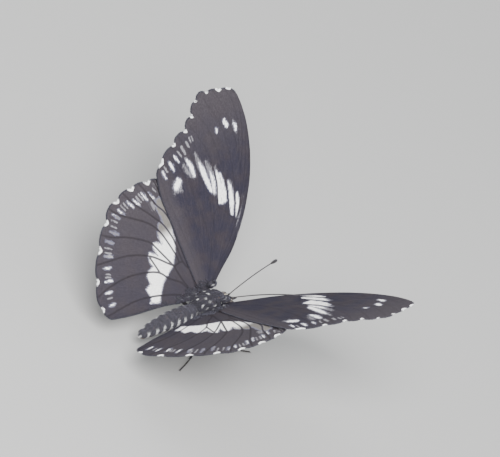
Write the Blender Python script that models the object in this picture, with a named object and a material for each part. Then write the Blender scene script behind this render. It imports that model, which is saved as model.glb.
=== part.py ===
"""A blue diadem butterfly, life size, standing on a floor with its wings raised in a wide V.

The head looks along -Y, the left wings reach towards +X and +Z is up.
Lengths are in millimetres until place() turns them into metres.
The body frame has its origin midway between the two forewing hinges, and a point in it
is (forward, left, up). The stance empty carries that frame above the floor."""

import math

import bpy
import numpy as np
from mathutils import Matrix, Vector, geometry

MM = 0.001
GAP = 0.3

FOREWING_LENGTH = 46.0
DIHEDRAL = math.radians(40.0)
FOREWING_PITCH = math.radians(0.8)
HINDWING_PITCH = math.radians(-3.6)
FOREWING_HINGE = (0.0, 2.36, -0.2)
HINDWING_HINGE = (-0.9, 2.24, -1.4)
WING_THICKNESS = 0.5
TIP_DROOP = 0.3
# The hindwing's front edge bends down to run level under the forewing.
TUCK_START, TUCK_SLOPE, TUCK_ROUNDING = -6.0, 0.08, 1.5

STANCE_PITCH = math.radians(8.0)
HINGE_HEIGHT = 10.6
# The hinges lie this far ahead of the middle of the whole length.
HINGES_AHEAD = 1.065

THORAX_REAR, METATHORAX_FRONT, MESOTHORAX_FRONT, THORAX_FRONT = -5.4, -3.5, 2.4, 3.45
BODY_SIDES = 20

HEAD_CENTRE = (5.0, 0.0, -3.95)
HEAD_HALF = (1.4, 1.55, 1.6)
EYE_CENTRE = (5.1, 1.35, -3.8)
EYE_HALF = (1.2, 1.0, 1.35)

ANTENNA_ROOT = (5.75, 0.5, -2.45)
ANTENNA_REACH = (20.7, 5.3, -3.2)
ANTENNA_BOW = 0.9
ANTENNA_RADIUS = 0.25
CLUB_RADIUS = 0.45
CLUB_START = 0.86

FLOOR = 0.0
LEG_SIDES = 6

# Rings down the thorax: forward, up of the centre, half width, half height.
THORAX_RINGS = (
    (-5.4, -2.5, 1.9, 2.3),
    (-4.4, -2.35, 2.5, 2.9),
    (-3.4, -2.3, 2.8, 3.3),
    (-1.6, -2.2, 3.05, 3.55),
    (0.4, -2.3, 3.05, 3.6),
    (1.7, -2.65, 2.75, 3.3),
    (2.6, -3.1, 2.25, 2.75),
    (3.45, -3.6, 1.65, 2.0),
)
# Rings down the abdomen, one or two to a segment.
ABDOMEN_FRONT, ABDOMEN_REAR = -5.7, -21.6
ABDOMEN_SEGMENTS = 8
ABDOMEN_AXIS = ((-5.7, -2.55), (-10.5, -2.35), (-16.0, -2.75), (-21.6, -3.9))
ABDOMEN_HALF = ((-5.7, 1.75), (-8.0, 2.1), (-13.0, 2.15), (-18.0, 1.75), (-20.6, 1.15), (-21.6, 0.5))

# A wing in its own plane: out from the hinge, forward. Each lobe of the scalloped edge bulges at a
# vein's tip and ends in a small notch, listed as the tip and then the notch after it.
FOREWING_COSTA = (
    (0.0, 1.5), (1.6, 3.1), (3.6, 5.6), (6.4, 9.3), (9.6, 12.4), (13.6, 15.6), (17.6, 18.1),
    (21.6, 20.1), (26.8, 21.8), (32.4, 22.7), (36.6, 22.6), (39.4, 22.1),
)
FOREWING_LOBES = (
    ((40.9, 21.2), (41.4, 20.1)), ((41.9, 18.9), (41.85, 17.2)), ((42.6, 15.4), (42.3, 13.5)),
    ((42.9, 11.3), (41.3, 9.9)), ((40.6, 8.2), (38.3, 7.7)), ((37.8, 5.7), (35.6, 5.0)),
    ((35.5, 2.1), (33.6, 0.7)), ((32.9, -2.3), (30.8, -4.0)), ((29.6, -5.6), (27.9, -6.5)),
)
FOREWING_INNER = ((24.0, -6.2), (18.0, -5.2), (12.0, -4.2), (6.0, -3.2), (2.0, -2.4), (0.0, -1.9))
FOREWING_VEINS = {
    "costa": ((0.4, 1.3), (3.8, 5.2), (9.8, 12.0), (17.8, 17.6), (26.8, 21.2), (32.4, 22.1)),
    "Sc": ((0.6, 0.9), (4.6, 5.6), (8.9, 10.5), (13.0, 14.1), (17.4, 17.0), (21.4, 19.5)),
    "R": ((0.5, 0.2), (4.8, 4.7), (9.0, 9.3), (12.6, 12.5), (15.2, 14.5), (18.5, 16.0), (24.0, 17.4),
          (30.0, 18.1), (36.0, 17.5), (42.5, 15.4)),
    "R1": ((11.5, 11.6), (15.6, 15.2), (20.0, 17.8), (26.5, 21.2)),
    "R2": ((17.5, 15.6), (22.0, 18.2), (28.0, 20.6), (32.4, 22.2)),
    "R3": ((23.0, 17.2), (28.0, 19.5), (33.0, 21.0), (37.0, 21.5), (40.9, 21.1)),
    "R4": ((26.5, 17.8), (30.0, 19.1), (34.0, 20.1), (38.0, 20.0), (41.9, 18.9)),
    "M1": ((12.8, 12.3), (17.0, 13.8), (20.0, 14.5), (26.0, 15.3), (34.0, 14.9), (42.8, 11.3)),
    "M2": ((14.6, 11.0), (17.5, 11.85), (21.6, 12.35), (28.0, 12.3), (34.0, 11.3), (40.5, 8.2)),
    "cell_end": ((12.8, 12.3), (14.6, 11.0), (16.8, 8.5), (15.4, 6.6), (13.5, 5.9)),
    "M3": ((16.8, 8.5), (19.8, 9.25), (22.0, 9.85), (25.5, 9.95), (29.0, 9.4), (33.4, 7.9), (37.7, 5.7)),
    "Cu": ((0.6, -0.5), (5.0, 1.9), (10.0, 4.2), (13.5, 5.9)),
    "CuA1": ((13.5, 5.9), (19.5, 6.4), (26.0, 5.3), (31.0, 4.2), (35.4, 2.1)),
    "CuA2": ((8.6, 3.6), (15.0, 3.5), (21.5, 2.5), (28.0, 0.6), (32.8, -2.3)),
    "2A": ((0.8, -1.4), (6.0, -1.5), (14.0, -2.7), (22.0, -4.4), (29.4, -5.6)),
}

HINDWING_COSTA = ((0.0, -0.4), (2.4, 1.3), (6.0, 2.5), (12.0, 3.0), (18.5, 2.5), (23.0, 1.3), (25.6, 0.4))
HINDWING_LOBES = (
    ((27.2, -0.6), (27.9, -2.1)), ((29.2, -4.1), (28.7, -5.7)), ((29.7, -8.2), (28.9, -10.3)),
    ((29.2, -13.0), (27.6, -14.9)), ((27.2, -17.8), (24.2, -19.2)), ((22.4, -21.9), (19.0, -23.1)),
    ((16.5, -25.5), (12.8, -26.2)), ((9.5, -27.8), (6.5, -27.1)), ((4.6, -26.8), (3.4, -25.2)),
)
HINDWING_INNER = ((2.6, -20.0), (2.3, -12.0), (1.6, -7.0), (0.6, -4.2), (0.0, -3.4))
HINDWING_VEINS = {
    "Sc_R1": ((0.5, -0.8), (6.0, 1.0), (14.0, 0.8), (21.0, 0.1), (27.1, -0.6)),
    "Rs": ((0.6, -1.5), (5.0, -1.7), (9.0, -1.9), (15.0, -2.1), (22.0, -2.8), (29.1, -4.1)),
    "M1": ((7.0, -1.8), (13.8, -3.8), (18.8, -4.5), (23.4, -5.6), (26.2, -6.5), (29.6, -8.2)),
    "M2": ((9.4, -4.4), (13.6, -5.5), (18.0, -7.1), (21.6, -8.6), (25.5, -10.7), (29.1, -13.0)),
    "cell_end": ((7.0, -1.8), (9.4, -4.4), (8.6, -6.6)),
    "M3": ((8.6, -6.6), (14.3, -8.9), (18.9, -11.5), (23.2, -14.5), (27.1, -17.8)),
    "Cu": ((0.7, -2.3), (3.6, -4.9), (6.6, -7.6), (8.6, -6.6)),
    "CuA1": ((8.6, -6.6), (12.4, -11.0), (16.4, -16.4), (22.3, -21.8)),
    "CuA2": ((6.6, -7.6), (9.4, -13.0), (12.6, -18.8), (16.4, -25.4)),
    "2A": ((0.9, -3.3), (4.0, -9.2), (6.6, -17.5), (9.5, -27.7)),
}
LOBE_STEPS = (0.0, 0.18, 0.5, 0.82)
LOBE_ROUNDNESS = 2.6
VEIN_HALF_WIDTH = 0.34
VEIN_RIDGE = 0.2
VEIN_STEP = 3.4

# Walking legs: the hip in the body frame, then points over the floor (left, forward, height).
LEGS = {
    "mid": {"hip": (0.9, 1.15, -5.2), "knee": (5.6, 2.6, 7.2), "ankle": (8.4, 5.4, 0.95), "claw": (10.2, 9.1)},
    "hind": {"hip": (-2.9, 1.1, -5.0), "knee": (5.4, -5.6, 6.6), "ankle": (8.0, -9.2, 0.95), "claw": (9.5, -13.3)},
}
HIP_RADIUS, KNEE_RADIUS, ANKLE_RADIUS, TARSUS_RADIUS, CLAW_RADIUS = 0.5, 0.34, 0.27, 0.3, 0.16
TARSUS_HEIGHT = 0.2
FORELEG_KNOTS = ((2.4, 0.9, -5.5), (3.3, 1.4, -6.4), (4.3, 1.3, -7.0), (5.1, 1.05, -7.3))
PALP_KNOTS = ((5.6, 0.78, -5.1), (6.9, 0.86, -5.6), (8.2, 0.8, -5.75), (9.4, 0.62, -5.45))
PALP_RADII = (0.36, 0.38, 0.38, 0.37, 0.35, 0.31, 0.26, 0.2, 0.1)
PROBOSCIS_ROOT = (5.7, 0.0, -5.55)
PROBOSCIS_RADIUS = 0.25
COIL_RADIUS, COIL_STEP, COIL_TURNS = 1.35, 0.66, 1.6
TEGULA_CENTRE = (1.1, 2.55, 1.15)
TEGULA_HALF = (1.35, 1.05, 0.5)

COLOURS = {
    "dark_scales": (0.055, 0.05, 0.06, 1.0),
    "wing_upper": (0.075, 0.068, 0.08, 1.0),
    "eye": (0.12, 0.07, 0.045, 1.0),
    "horn": (0.03, 0.026, 0.03, 1.0),
}
ROUGHNESS = {"dark_scales": 0.85, "wing_upper": 0.7, "eye": 0.25, "horn": 0.5}


def clear_scene():
    for item in list(bpy.data.objects):
        bpy.data.objects.remove(item)


def material(name):
    made = bpy.data.materials.get(name)
    if made is None:
        made = bpy.data.materials.new(name)
        made.use_nodes = True
        shader = made.node_tree.nodes["Principled BSDF"]
        shader.inputs["Base Color"].default_value = COLOURS[name]
        shader.inputs["Roughness"].default_value = ROUGHNESS[name]
        shader.inputs["Metallic"].default_value = 0.0
    return made


def place(point):
    """A (forward, left, up) point in millimetres as the body frame's metres."""
    forward, left, up = point
    return Vector((left, -forward, up)) * MM


def new_object(name, points, faces, look, parent=None):
    mesh = bpy.data.meshes.new(name)
    mesh.from_pydata([tuple(p) for p in points], [], faces)
    mesh.validate()
    mesh.materials.append(material(look))
    made = bpy.data.objects.new(name, mesh)
    bpy.context.scene.collection.objects.link(made)
    made.parent = parent
    return made


def as_cutter(item):
    item.hide_render = True
    item.display_type = "WIRE"
    return item


def cut(item, cutter):
    modifier = item.modifiers.new("clear_" + cutter.name, "BOOLEAN")
    modifier.operation = "DIFFERENCE"
    modifier.solver = "EXACT"
    modifier.object = cutter


def smooth_curve(knots, count):
    """Points evenly along a Catmull-Rom curve through the knots, each of any dimension."""
    knots = np.array(knots, float)
    padded = np.vstack([2 * knots[0] - knots[1], knots, 2 * knots[-1] - knots[-2]])
    found = []
    for step in np.linspace(0, len(knots) - 1, count):
        i = min(int(step), len(knots) - 2)
        t = step - i
        a, b, c, d = padded[i : i + 4]
        found.append(
            0.5 * (2 * b + (c - a) * t + (2 * a - 5 * b + 4 * c - d) * t**2 + (3 * b - 3 * c + d - a) * t**3)
        )
    return np.array(found)


def value_at(table, where):
    """The second column of a table, smoothly, at a value of its first column."""
    rows = np.array(sorted(tuple(row) for row in table))
    return float(np.interp(where, rows[:, 0], rows[:, 1]))


def tube_faces(rings, sides):
    """Faces that join rings of points, with a fan over each end."""
    faces = []
    for ring in range(rings - 1):
        for side in range(sides):
            after = (side + 1) % sides
            a, b = ring * sides + side, ring * sides + after
            faces.append((a, b, b + sides, a + sides))
    first, last = rings * sides, rings * sides + 1
    top = (rings - 1) * sides
    for side in range(sides):
        after = (side + 1) % sides
        faces.append((first, after, side))
        faces.append((last, top + side, top + after))
    return faces


def outward(item):
    """Turns the faces to point out."""
    mesh = item.data
    points = np.array([v.co for v in mesh.vertices])
    mesh.calc_loop_triangles()
    corners = points[np.array([t.vertices for t in mesh.loop_triangles])]
    volume = np.einsum("ij,ij->i", corners[:, 0], np.cross(corners[:, 1], corners[:, 2])).sum()
    if volume < 0:
        mesh.flip_normals()
    return item


def shade_round(item, angle=40.0):
    item.data.shade_smooth()
    item.data.set_sharp_from_angle(angle=math.radians(angle))
    return item


def loft(name, rings, sides, look, parent=None):
    """A closed body through elliptic rings (forward, up, half width, half height)."""
    points = []
    for forward, up, half_width, half_height in rings:
        for side in range(sides):
            turn = 2 * math.pi * side / sides
            points.append(place((forward, half_width * math.sin(turn), up + half_height * math.cos(turn))))
    for forward, up, _, _ in (rings[0], rings[-1]):
        points.append(place((forward, 0.0, up)))
    return shade_round(outward(new_object(name, points, tube_faces(len(rings), sides), look, parent)))


def thorax_rings(rear, front, grow=0.0, count=5):
    """Rings of the thorax between two stations, grown by a margin for a cutter."""
    table = np.array(THORAX_RINGS)
    rings = []
    for forward in np.linspace(rear, front, count):
        up, half_width, half_height = (np.interp(forward, table[:, 0], table[:, i]) for i in (1, 2, 3))
        rings.append((forward, up, half_width + grow, half_height + grow))
    return rings


def ellipsoid(name, centre, half, look, parent, grow=0.0, sides=16, rows=10, roll=0.0):
    """An ellipsoid about a (forward, left, up) centre, with its poles ahead and behind."""
    spin = Matrix.Rotation(-roll, 3, "Y")
    rings = []
    for row in range(1, rows):
        angle = math.pi * row / rows
        rings.append((-math.cos(angle), math.sin(angle)))
    points = []
    for along, wide in rings:
        for side in range(sides):
            turn = 2 * math.pi * side / sides
            across = (half[1] + grow) * wide * math.sin(turn)
            upright = (half[2] + grow) * wide * math.cos(turn)
            points.append(place(centre) + spin @ place(((half[0] + grow) * along, across, upright)))
    for along in (-1, 1):
        points.append(place(centre) + place(((half[0] + grow) * along, 0.0, 0.0)))
    return shade_round(outward(new_object(name, points, tube_faces(len(rings), sides), look, parent)))


def tube(name, path, radii, sides, look, parent=None, flat_below=None):
    """A closed tube of metre points, whose lowest side can be pressed flat at a height."""
    path = [Vector(p) for p in path]
    points, reference = [], Vector((0.0, 0.0, 1.0))
    for i, centre in enumerate(path):
        along = (path[min(i + 1, len(path) - 1)] - path[max(i - 1, 0)]).normalized()
        side_way = along.cross(reference).normalized()
        up_way = side_way.cross(along)
        for side in range(sides):
            turn = 2 * math.pi * (side + 0.5) / sides - math.pi / 2
            points.append(centre + radii[i] * (side_way * math.cos(turn) + up_way * math.sin(turn)))
    points += [path[0], path[-1]]
    if flat_below is not None:
        points = [Vector((p.x, p.y, max(p.z, flat_below))) for p in points]
    return shade_round(outward(new_object(name, points, tube_faces(len(path), sides), look, parent)), 60.0)


def mirrored(point, side):
    return (point[0], side * point[1], point[2])


def nearest_on(path, point):
    """Distance from a point to a polyline, and how far along it that is, from 0 to 1."""
    path = np.array(path, float)
    starts, ways = path[:-1], path[1:] - path[:-1]
    lengths = np.maximum((ways**2).sum(axis=1), 1e-9)
    share = np.clip(((point - starts) * ways).sum(axis=1) / lengths, 0, 1)
    gaps = np.linalg.norm(starts + share[:, None] * ways - point, axis=1)
    best = int(gaps.argmin())
    return float(gaps[best]), (best + float(share[best])) / len(ways)


def wing_outline(costa, lobes, inner):
    """The wing's edge as a closed loop: the front edge, the rounded lobes and the inner edge."""
    loop = [np.array(p) for p in costa]
    start = loop.pop()
    for tip, notch in lobes:
        tip, notch = np.array(tip), np.array(notch)
        way = notch - start
        middle = float((tip - start) @ way / (way @ way))
        bulge = tip - start - middle * way
        for t in LOBE_STEPS:
            t = middle * t * 2 if t < 0.5 else middle + (1 - middle) * (2 * t - 1)
            reach = (middle - t) / middle if t < middle else (t - middle) / (1 - middle)
            loop.append(start + t * way + bulge * (1 - reach**LOBE_ROUNDNESS))
        start = notch
    loop.append(start)
    return loop + [np.array(p) for p in inner]


def vein_path(knots):
    knots = np.array(knots, float)
    length = np.linalg.norm(np.diff(knots, axis=0), axis=1).sum()
    return smooth_curve(knots, max(3, round(length / VEIN_STEP) + 1))


def half_width_at(share):
    return VEIN_HALF_WIDTH * (1.0 - 0.45 * share)


def wing_net(outline, veins):
    """Triangles over a wing's outline that follow each vein's crest and its two flanks."""
    corners, edges = [Vector(p) for p in outline], []
    edges += [(i, (i + 1) % len(outline)) for i in range(len(outline))]

    def add_line(points):
        start = len(corners)
        corners.extend(Vector(p) for p in points)
        edges.extend((start + i, start + i + 1) for i in range(len(points) - 1))

    for path in veins:
        add_line(path)
        way = np.gradient(path, axis=0)
        way /= np.linalg.norm(way, axis=1)[:, None]
        across = np.stack([-way[:, 1], way[:, 0]], axis=1)
        shares = np.linspace(0, 1, len(path))
        width = np.array([half_width_at(s) for s in shares])[:, None]
        for side in (-1, 1):
            add_line((path + side * width * across)[:-1])
    net = geometry.delaunay_2d_cdt(corners, edges, [], 1, 0.02)
    return np.array([tuple(p) for p in net[0]]), [tuple(f) for f in net[2]]


def ridge_height(point, veins):
    height = 0.0
    for path in veins:
        gap, share = nearest_on(path, point)
        height = max(height, VEIN_RIDGE * (1 - 0.3 * share) * max(0.0, 1 - gap / half_width_at(share)))
    return height


def wing_axes(pitch):
    """The wing's outward, forward and upward directions in the body frame."""
    up_way = Vector((math.sin(pitch), -math.sin(DIHEDRAL) * math.cos(pitch), math.cos(DIHEDRAL) * math.cos(pitch)))
    left = Vector((0.0, 1.0, 0.0))
    out_way = (left - up_way * left.dot(up_way)).normalized()
    return out_way, out_way.cross(up_way), up_way


def bend(u, v, tucked):
    """How far the wing's middle surface lies off its plane."""
    lift = -TIP_DROOP * (math.hypot(u, v) / FOREWING_LENGTH) ** 2
    if tucked:
        past = v - TUCK_START
        lift -= TUCK_SLOPE * (past + math.hypot(past, TUCK_ROUNDING)) / 2
    return lift


def wing(name, outline, vein_knots, hinge, pitch, tucked, side, look, parent):
    """A thin wing with its veins raised on both faces."""
    veins = [vein_path(knots) for knots in vein_knots.values()]
    flat, triangles = wing_net(outline, veins)
    out_way, fore_way, up_way = wing_axes(pitch)
    points = []
    for face_way in (1, -1):
        for u, v in flat:
            lift = bend(u, v, tucked) + face_way * (WING_THICKNESS / 2 + ridge_height(np.array((u, v)), veins))
            spot = Vector(hinge) + out_way * u + fore_way * v + up_way * lift
            points.append(place(mirrored(spot, side)))
    under = len(flat)
    faces = [tuple(f) for f in triangles]
    faces += [tuple(reversed([i + under for i in f])) for f in triangles]
    directed = {(f[i], f[(i + 1) % 3]) for f in triangles for i in range(3)}
    for a, b in sorted(directed):
        if (b, a) not in directed:
            faces += [(b, a, a + under), (b, a + under, b + under)]
    return outward(new_object(name, points, faces, look, parent))


def build_thorax(stance):
    loft("metathorax", thorax_rings(THORAX_REAR, METATHORAX_FRONT - GAP, count=4), BODY_SIDES, "dark_scales", stance)
    loft("mesothorax", thorax_rings(METATHORAX_FRONT, MESOTHORAX_FRONT - GAP, count=8), BODY_SIDES, "dark_scales", stance)
    loft("prothorax", thorax_rings(MESOTHORAX_FRONT, THORAX_FRONT, count=4), BODY_SIDES, "dark_scales", stance)


def build_abdomen(stance):
    """One body whose segments are drawn in where they meet."""
    step = (ABDOMEN_REAR - ABDOMEN_FRONT) / ABDOMEN_SEGMENTS
    axis = smooth_curve(ABDOMEN_AXIS, 41)
    rings = []
    for segment in range(ABDOMEN_SEGMENTS):
        for share, swell in ((0.0, 0.9), (0.25, 1.0), (0.8, 1.03)):
            forward = ABDOMEN_FRONT + step * (segment + share)
            half = value_at(ABDOMEN_HALF, forward) * swell
            rings.append((forward, value_at(axis, forward), half, half * 1.05))
    rings.append((ABDOMEN_REAR, value_at(axis, ABDOMEN_REAR), ABDOMEN_HALF[-1][1], ABDOMEN_HALF[-1][1]))
    loft("abdomen", rings, 16, "dark_scales", stance)


def build_head(stance):
    loft_cutter = loft("neck_clearance", thorax_rings(MESOTHORAX_FRONT, THORAX_FRONT + GAP, grow=GAP), BODY_SIDES, "horn", stance)
    as_cutter(loft_cutter)
    head = ellipsoid("head", HEAD_CENTRE, HEAD_HALF, "dark_scales", stance)
    cut(head, loft_cutter)
    clearance = as_cutter(ellipsoid("head_clearance", HEAD_CENTRE, HEAD_HALF, "horn", stance, grow=GAP))
    for side, word in ((1, "left"), (-1, "right")):
        eye = ellipsoid("eye_" + word, mirrored(EYE_CENTRE, side), EYE_HALF, "eye", stance)
        cut(eye, clearance)
        cut(eye, loft_cutter)
        build_antenna(word, side, clearance, stance)
        build_palp(word, side, clearance, stance)
    build_proboscis(clearance, stance)


def build_antenna(word, side, clearance, stance):
    path, radii = [], []
    count = 19
    for i in range(count):
        share = i / (count - 1)
        lift = 4 * ANTENNA_BOW * share * (1 - share)
        point = [ANTENNA_ROOT[k] + ANTENNA_REACH[k] * share for k in range(3)]
        point[2] += lift
        path.append(place(mirrored(point, side)))
        swell = max(0.0, (share - CLUB_START) / (1 - CLUB_START))
        bulge = math.sin(math.pi * min(1.0, 0.15 + 0.85 * swell)) if swell > 0 else 0.0
        radii.append((ANTENNA_RADIUS + (CLUB_RADIUS - ANTENNA_RADIUS) * bulge) * MM)
    antenna = tube("antenna_" + word, path, radii, 8, "horn", stance)
    cut(antenna, clearance)


def build_palp(word, side, clearance, stance):
    path = [place(mirrored(p, side)) for p in smooth_curve(PALP_KNOTS, len(PALP_RADII))]
    palp = tube("palp_" + word, path, [r * MM for r in PALP_RADII], 8, "dark_scales", stance)
    cut(palp, clearance)


def build_proboscis(clearance, stance):
    """A watch-spring coil under the head, between the palps."""
    start = math.radians(105)
    hub = (PROBOSCIS_ROOT[0] - COIL_RADIUS * math.cos(start), PROBOSCIS_ROOT[2] - COIL_RADIUS * math.sin(start))
    count = 41
    path = []
    for i in range(count):
        turn = COIL_TURNS * i / (count - 1)
        reach = COIL_RADIUS - COIL_STEP * turn
        angle = start - 2 * math.pi * turn
        path.append(place((hub[0] + reach * math.cos(angle), 0.0, hub[1] + reach * math.sin(angle))))
    points, sides = [], 8
    for i, centre in enumerate(path):
        along = (path[min(i + 1, count - 1)] - path[max(i - 1, 0)]).normalized()
        across = Vector((1.0, 0.0, 0.0))
        upright = across.cross(along)
        for side in range(sides):
            turn = 2 * math.pi * side / sides
            points.append(centre + PROBOSCIS_RADIUS * MM * (across * math.cos(turn) + upright * math.sin(turn)))
    points += [path[0], path[-1]]
    coil = outward(new_object("proboscis", points, tube_faces(len(path), sides), "horn", stance))
    cut(shade_round(coil, 60.0), clearance)


def root_slab(word, side, stance):
    """A thick slab about the forewing's root, which the tegula is trimmed to."""
    out_way, fore_way, up_way = wing_axes(FOREWING_PITCH)
    half = WING_THICKNESS / 2 + VEIN_RIDGE + GAP
    points = []
    for along in (-4.0, 6.0):
        for across in (-1.0, 8.0):
            for lift in (-half * 4, half):
                spot = Vector(FOREWING_HINGE) + fore_way * along + out_way * across + up_way * lift
                points.append(place(mirrored(spot, side)))
    faces = [(0, 1, 3, 2), (4, 6, 7, 5), (0, 4, 5, 1), (2, 3, 7, 6), (0, 2, 6, 4), (1, 5, 7, 3)]
    return as_cutter(outward(new_object("root_slab_" + word, points, faces, "horn", stance)))


def thorax_cutter(name, stance):
    rings = thorax_rings(THORAX_REAR - GAP, THORAX_FRONT, grow=GAP, count=12)
    return as_cutter(loft(name, rings, BODY_SIDES, "horn", stance))


def build_wings(stance):
    clearance = thorax_cutter("thorax_clearance", stance)
    fore = wing_outline(FOREWING_COSTA, FOREWING_LOBES, FOREWING_INNER)
    hind = wing_outline(HINDWING_COSTA, HINDWING_LOBES, HINDWING_INNER)
    kinds = (
        ("forewing_", fore, FOREWING_VEINS, FOREWING_HINGE, FOREWING_PITCH, False),
        ("hindwing_", hind, HINDWING_VEINS, HINDWING_HINGE, HINDWING_PITCH, True),
    )
    for side, word in ((1, "left"), (-1, "right")):
        for kind, outline, veins, hinge, pitch, tucked in kinds:
            cut(wing(kind + word, outline, veins, hinge, pitch, tucked, side, "wing_upper", stance), clearance)
        centre = mirrored(TEGULA_CENTRE, side)
        tegula = ellipsoid("tegula_" + word, centre, TEGULA_HALF, "dark_scales", stance, roll=side * DIHEDRAL)
        cut(tegula, clearance)
        cut(tegula, root_slab(word, side, stance))


def over_floor(left, forward, height, side):
    return Vector((side * left, -forward - HINGES_AHEAD, height)) * MM


def walking_leg(name, plan, side, hip_point):
    """Femur, tibia and a tarsus that lies flat on the floor, as one bent tube."""
    knee = over_floor(*plan["knee"], side)
    ankle = over_floor(*plan["ankle"], side)
    claw = over_floor(*plan["claw"], TARSUS_HEIGHT, side)
    heel = ankle.lerp(claw, 0.3)
    heel.z = TARSUS_HEIGHT * MM
    spans = (
        (hip_point, knee, HIP_RADIUS, KNEE_RADIUS, 4),
        (knee, ankle, KNEE_RADIUS, ANKLE_RADIUS, 4),
        (ankle, heel, ANKLE_RADIUS, TARSUS_RADIUS, 2),
        (heel, claw, TARSUS_RADIUS, TARSUS_RADIUS, 3),
    )
    path, radii = [], []
    for a, b, thick_a, thick_b, steps in spans:
        for i in range(steps):
            path.append(a.lerp(b, i / steps))
            radii.append((thick_a + (thick_b - thick_a) * i / steps) * MM)
    path.append(claw)
    radii.append(CLAW_RADIUS * MM)
    return tube(name, path, radii, LEG_SIDES, "horn", None, flat_below=FLOOR)


def build_legs(stance):
    """Four walking legs, and the two small folded forelegs of the brush-footed family."""
    clearance = thorax_cutter("leg_clearance", stance)
    for side, word in ((1, "left"), (-1, "right")):
        for pair, plan in LEGS.items():
            hip_point = stance.matrix_world @ place(mirrored(plan["hip"], side))
            cut(walking_leg(pair + "leg_" + word, plan, side, hip_point), clearance)
        path = [place(mirrored(p, side)) for p in smooth_curve(FORELEG_KNOTS, 8)]
        radii = [r * MM for r in (0.42, 0.4, 0.38, 0.36, 0.34, 0.32, 0.28, 0.2)]
        cut(tube("foreleg_" + word, path, radii, 8, "dark_scales", stance), clearance)


def build():
    clear_scene()
    stance = bpy.data.objects.new("stance", None)
    bpy.context.scene.collection.objects.link(stance)
    stance.location = (0.0, -HINGES_AHEAD * MM, HINGE_HEIGHT * MM)
    stance.rotation_euler = (-STANCE_PITCH, 0.0, 0.0)
    bpy.context.view_layer.update()
    build_thorax(stance)
    build_abdomen(stance)
    build_head(stance)
    build_wings(stance)
    build_legs(stance)


build()
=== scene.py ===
"""The looks of the blue diadem: scaled wings with broken white bands, a coat of hair, and studio light.

Lengths are in millimetres in the body frame (forward, left, up), whose origin lies midway
between the forewing hinges. TO_WORLD carries them to metres over the floor."""

import math

import bpy
import numpy as np
from mathutils import Matrix, Vector, geometry


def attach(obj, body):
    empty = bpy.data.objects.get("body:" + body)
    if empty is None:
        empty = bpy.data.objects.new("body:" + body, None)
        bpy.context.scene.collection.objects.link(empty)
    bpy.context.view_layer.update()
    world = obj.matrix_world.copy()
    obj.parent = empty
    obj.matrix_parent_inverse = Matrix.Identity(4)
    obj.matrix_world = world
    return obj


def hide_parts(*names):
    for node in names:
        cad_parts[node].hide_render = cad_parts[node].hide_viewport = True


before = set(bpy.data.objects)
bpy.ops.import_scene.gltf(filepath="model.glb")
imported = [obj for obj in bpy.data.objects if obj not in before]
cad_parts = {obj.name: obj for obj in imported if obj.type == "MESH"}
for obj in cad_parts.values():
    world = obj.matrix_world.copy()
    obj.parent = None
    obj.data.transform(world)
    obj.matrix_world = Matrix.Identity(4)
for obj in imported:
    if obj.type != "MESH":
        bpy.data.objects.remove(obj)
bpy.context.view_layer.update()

MM = 0.001
STANCE_PITCH = math.radians(8.0)
HINGE_HEIGHT = 10.6
HINGES_AHEAD = 1.065
TO_WORLD = (
    Matrix.Translation((0.0, -HINGES_AHEAD * MM, HINGE_HEIGHT * MM))
    @ Matrix.Rotation(-STANCE_PITCH, 4, "X")
    @ Matrix(((0, 1, 0, 0), (-1, 0, 0, 0), (0, 0, 1, 0), (0, 0, 0, 1)))
    @ Matrix.Scale(MM, 4)
)

SIDES = ((1, "left"), (-1, "right"))

# The photograph's view: its right and up in the body frame, how far its centre lies that way from
# the origin, and its width there.
CAMERA_RIGHT = (0.733, -0.597, 0.327)
CAMERA_UP = (0.292, 0.710, 0.641)
VIEW_CENTRE = (7.906, 15.31)
VIEW_WIDTH = 112.2
LENS = 900.0
SENSOR = 36.0

FLOOR_REACH = 3.0
FLOOR_COLOUR, FLOOR_ROUGHNESS = (0.37, 0.366, 0.358, 1.0), 0.85
SKY_COLOUR, SKY_STRENGTH = (0.9, 0.95, 1.0, 1.0), 0.75
# Each light's place in metres, its width and its power.
LIGHTS = {"key": ((-0.24, 0.36, 0.56), 0.5, 13.5), "fill": ((0.4, -0.2, 0.45), 0.6, 2.0)}

WING_HALF_THICKNESS, MARGIN_HALF_THICKNESS, MARGIN_TAPER = 0.13, 0.05, 1.2
TIP_DROOP = 0.3
FOREWING_LENGTH = 46.0
DIHEDRAL = math.radians(40.0)
TUCK_START, TUCK_SLOPE, TUCK_ROUNDING = -6.0, 0.08, 1.5
# How far each forewing's rear margin sinks towards the hindwing, or rises where the number is
# below zero: at a distance out, by this much. Side 1 is the left and -1 the right.
REAR_SINK = {
    1: ((0.0, 0.72), (12.0, 0.82), (22.0, 0.86), (28.0, 0.35), (31.0, 0.0)),
    -1: ((0.0, 0.52), (12.0, 0.5), (18.0, 0.2), (24.0, -0.25), (28.0, -0.35), (31.0, -0.15), (34.0, 0.0)),
}
# How far each hindwing is raised towards its forewing: at its hinge, per mm out and per mm forward.
SETTLE = {1: (0.35, -0.005, 0.009), -1: (0.48, 0.008, -0.0143)}
# How much the front of each hindwing's outer half rises further to meet its forewing.
FRONT_RISE = {1: 0.0, -1: 0.6}
# Where that rise sets in and is whole, forward and out.
RISE_FORWARD, RISE_OUT = (-6.5, -1.5), (13.0, 25.0)
# The forewing's rear part lies behind a line that slants back. It bends over the first span behind
# that line and has dusky scales over the second.
REAR_SLANT, REAR_SPAN, DUSKY_SPAN = 0.12, (-2.4, 2.6), (-1.8, 1.6)
NET_STEP = 0.24
VEIN_HALF_WIDTH = 0.17
VEIN_RIDGE = 0.06
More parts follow.
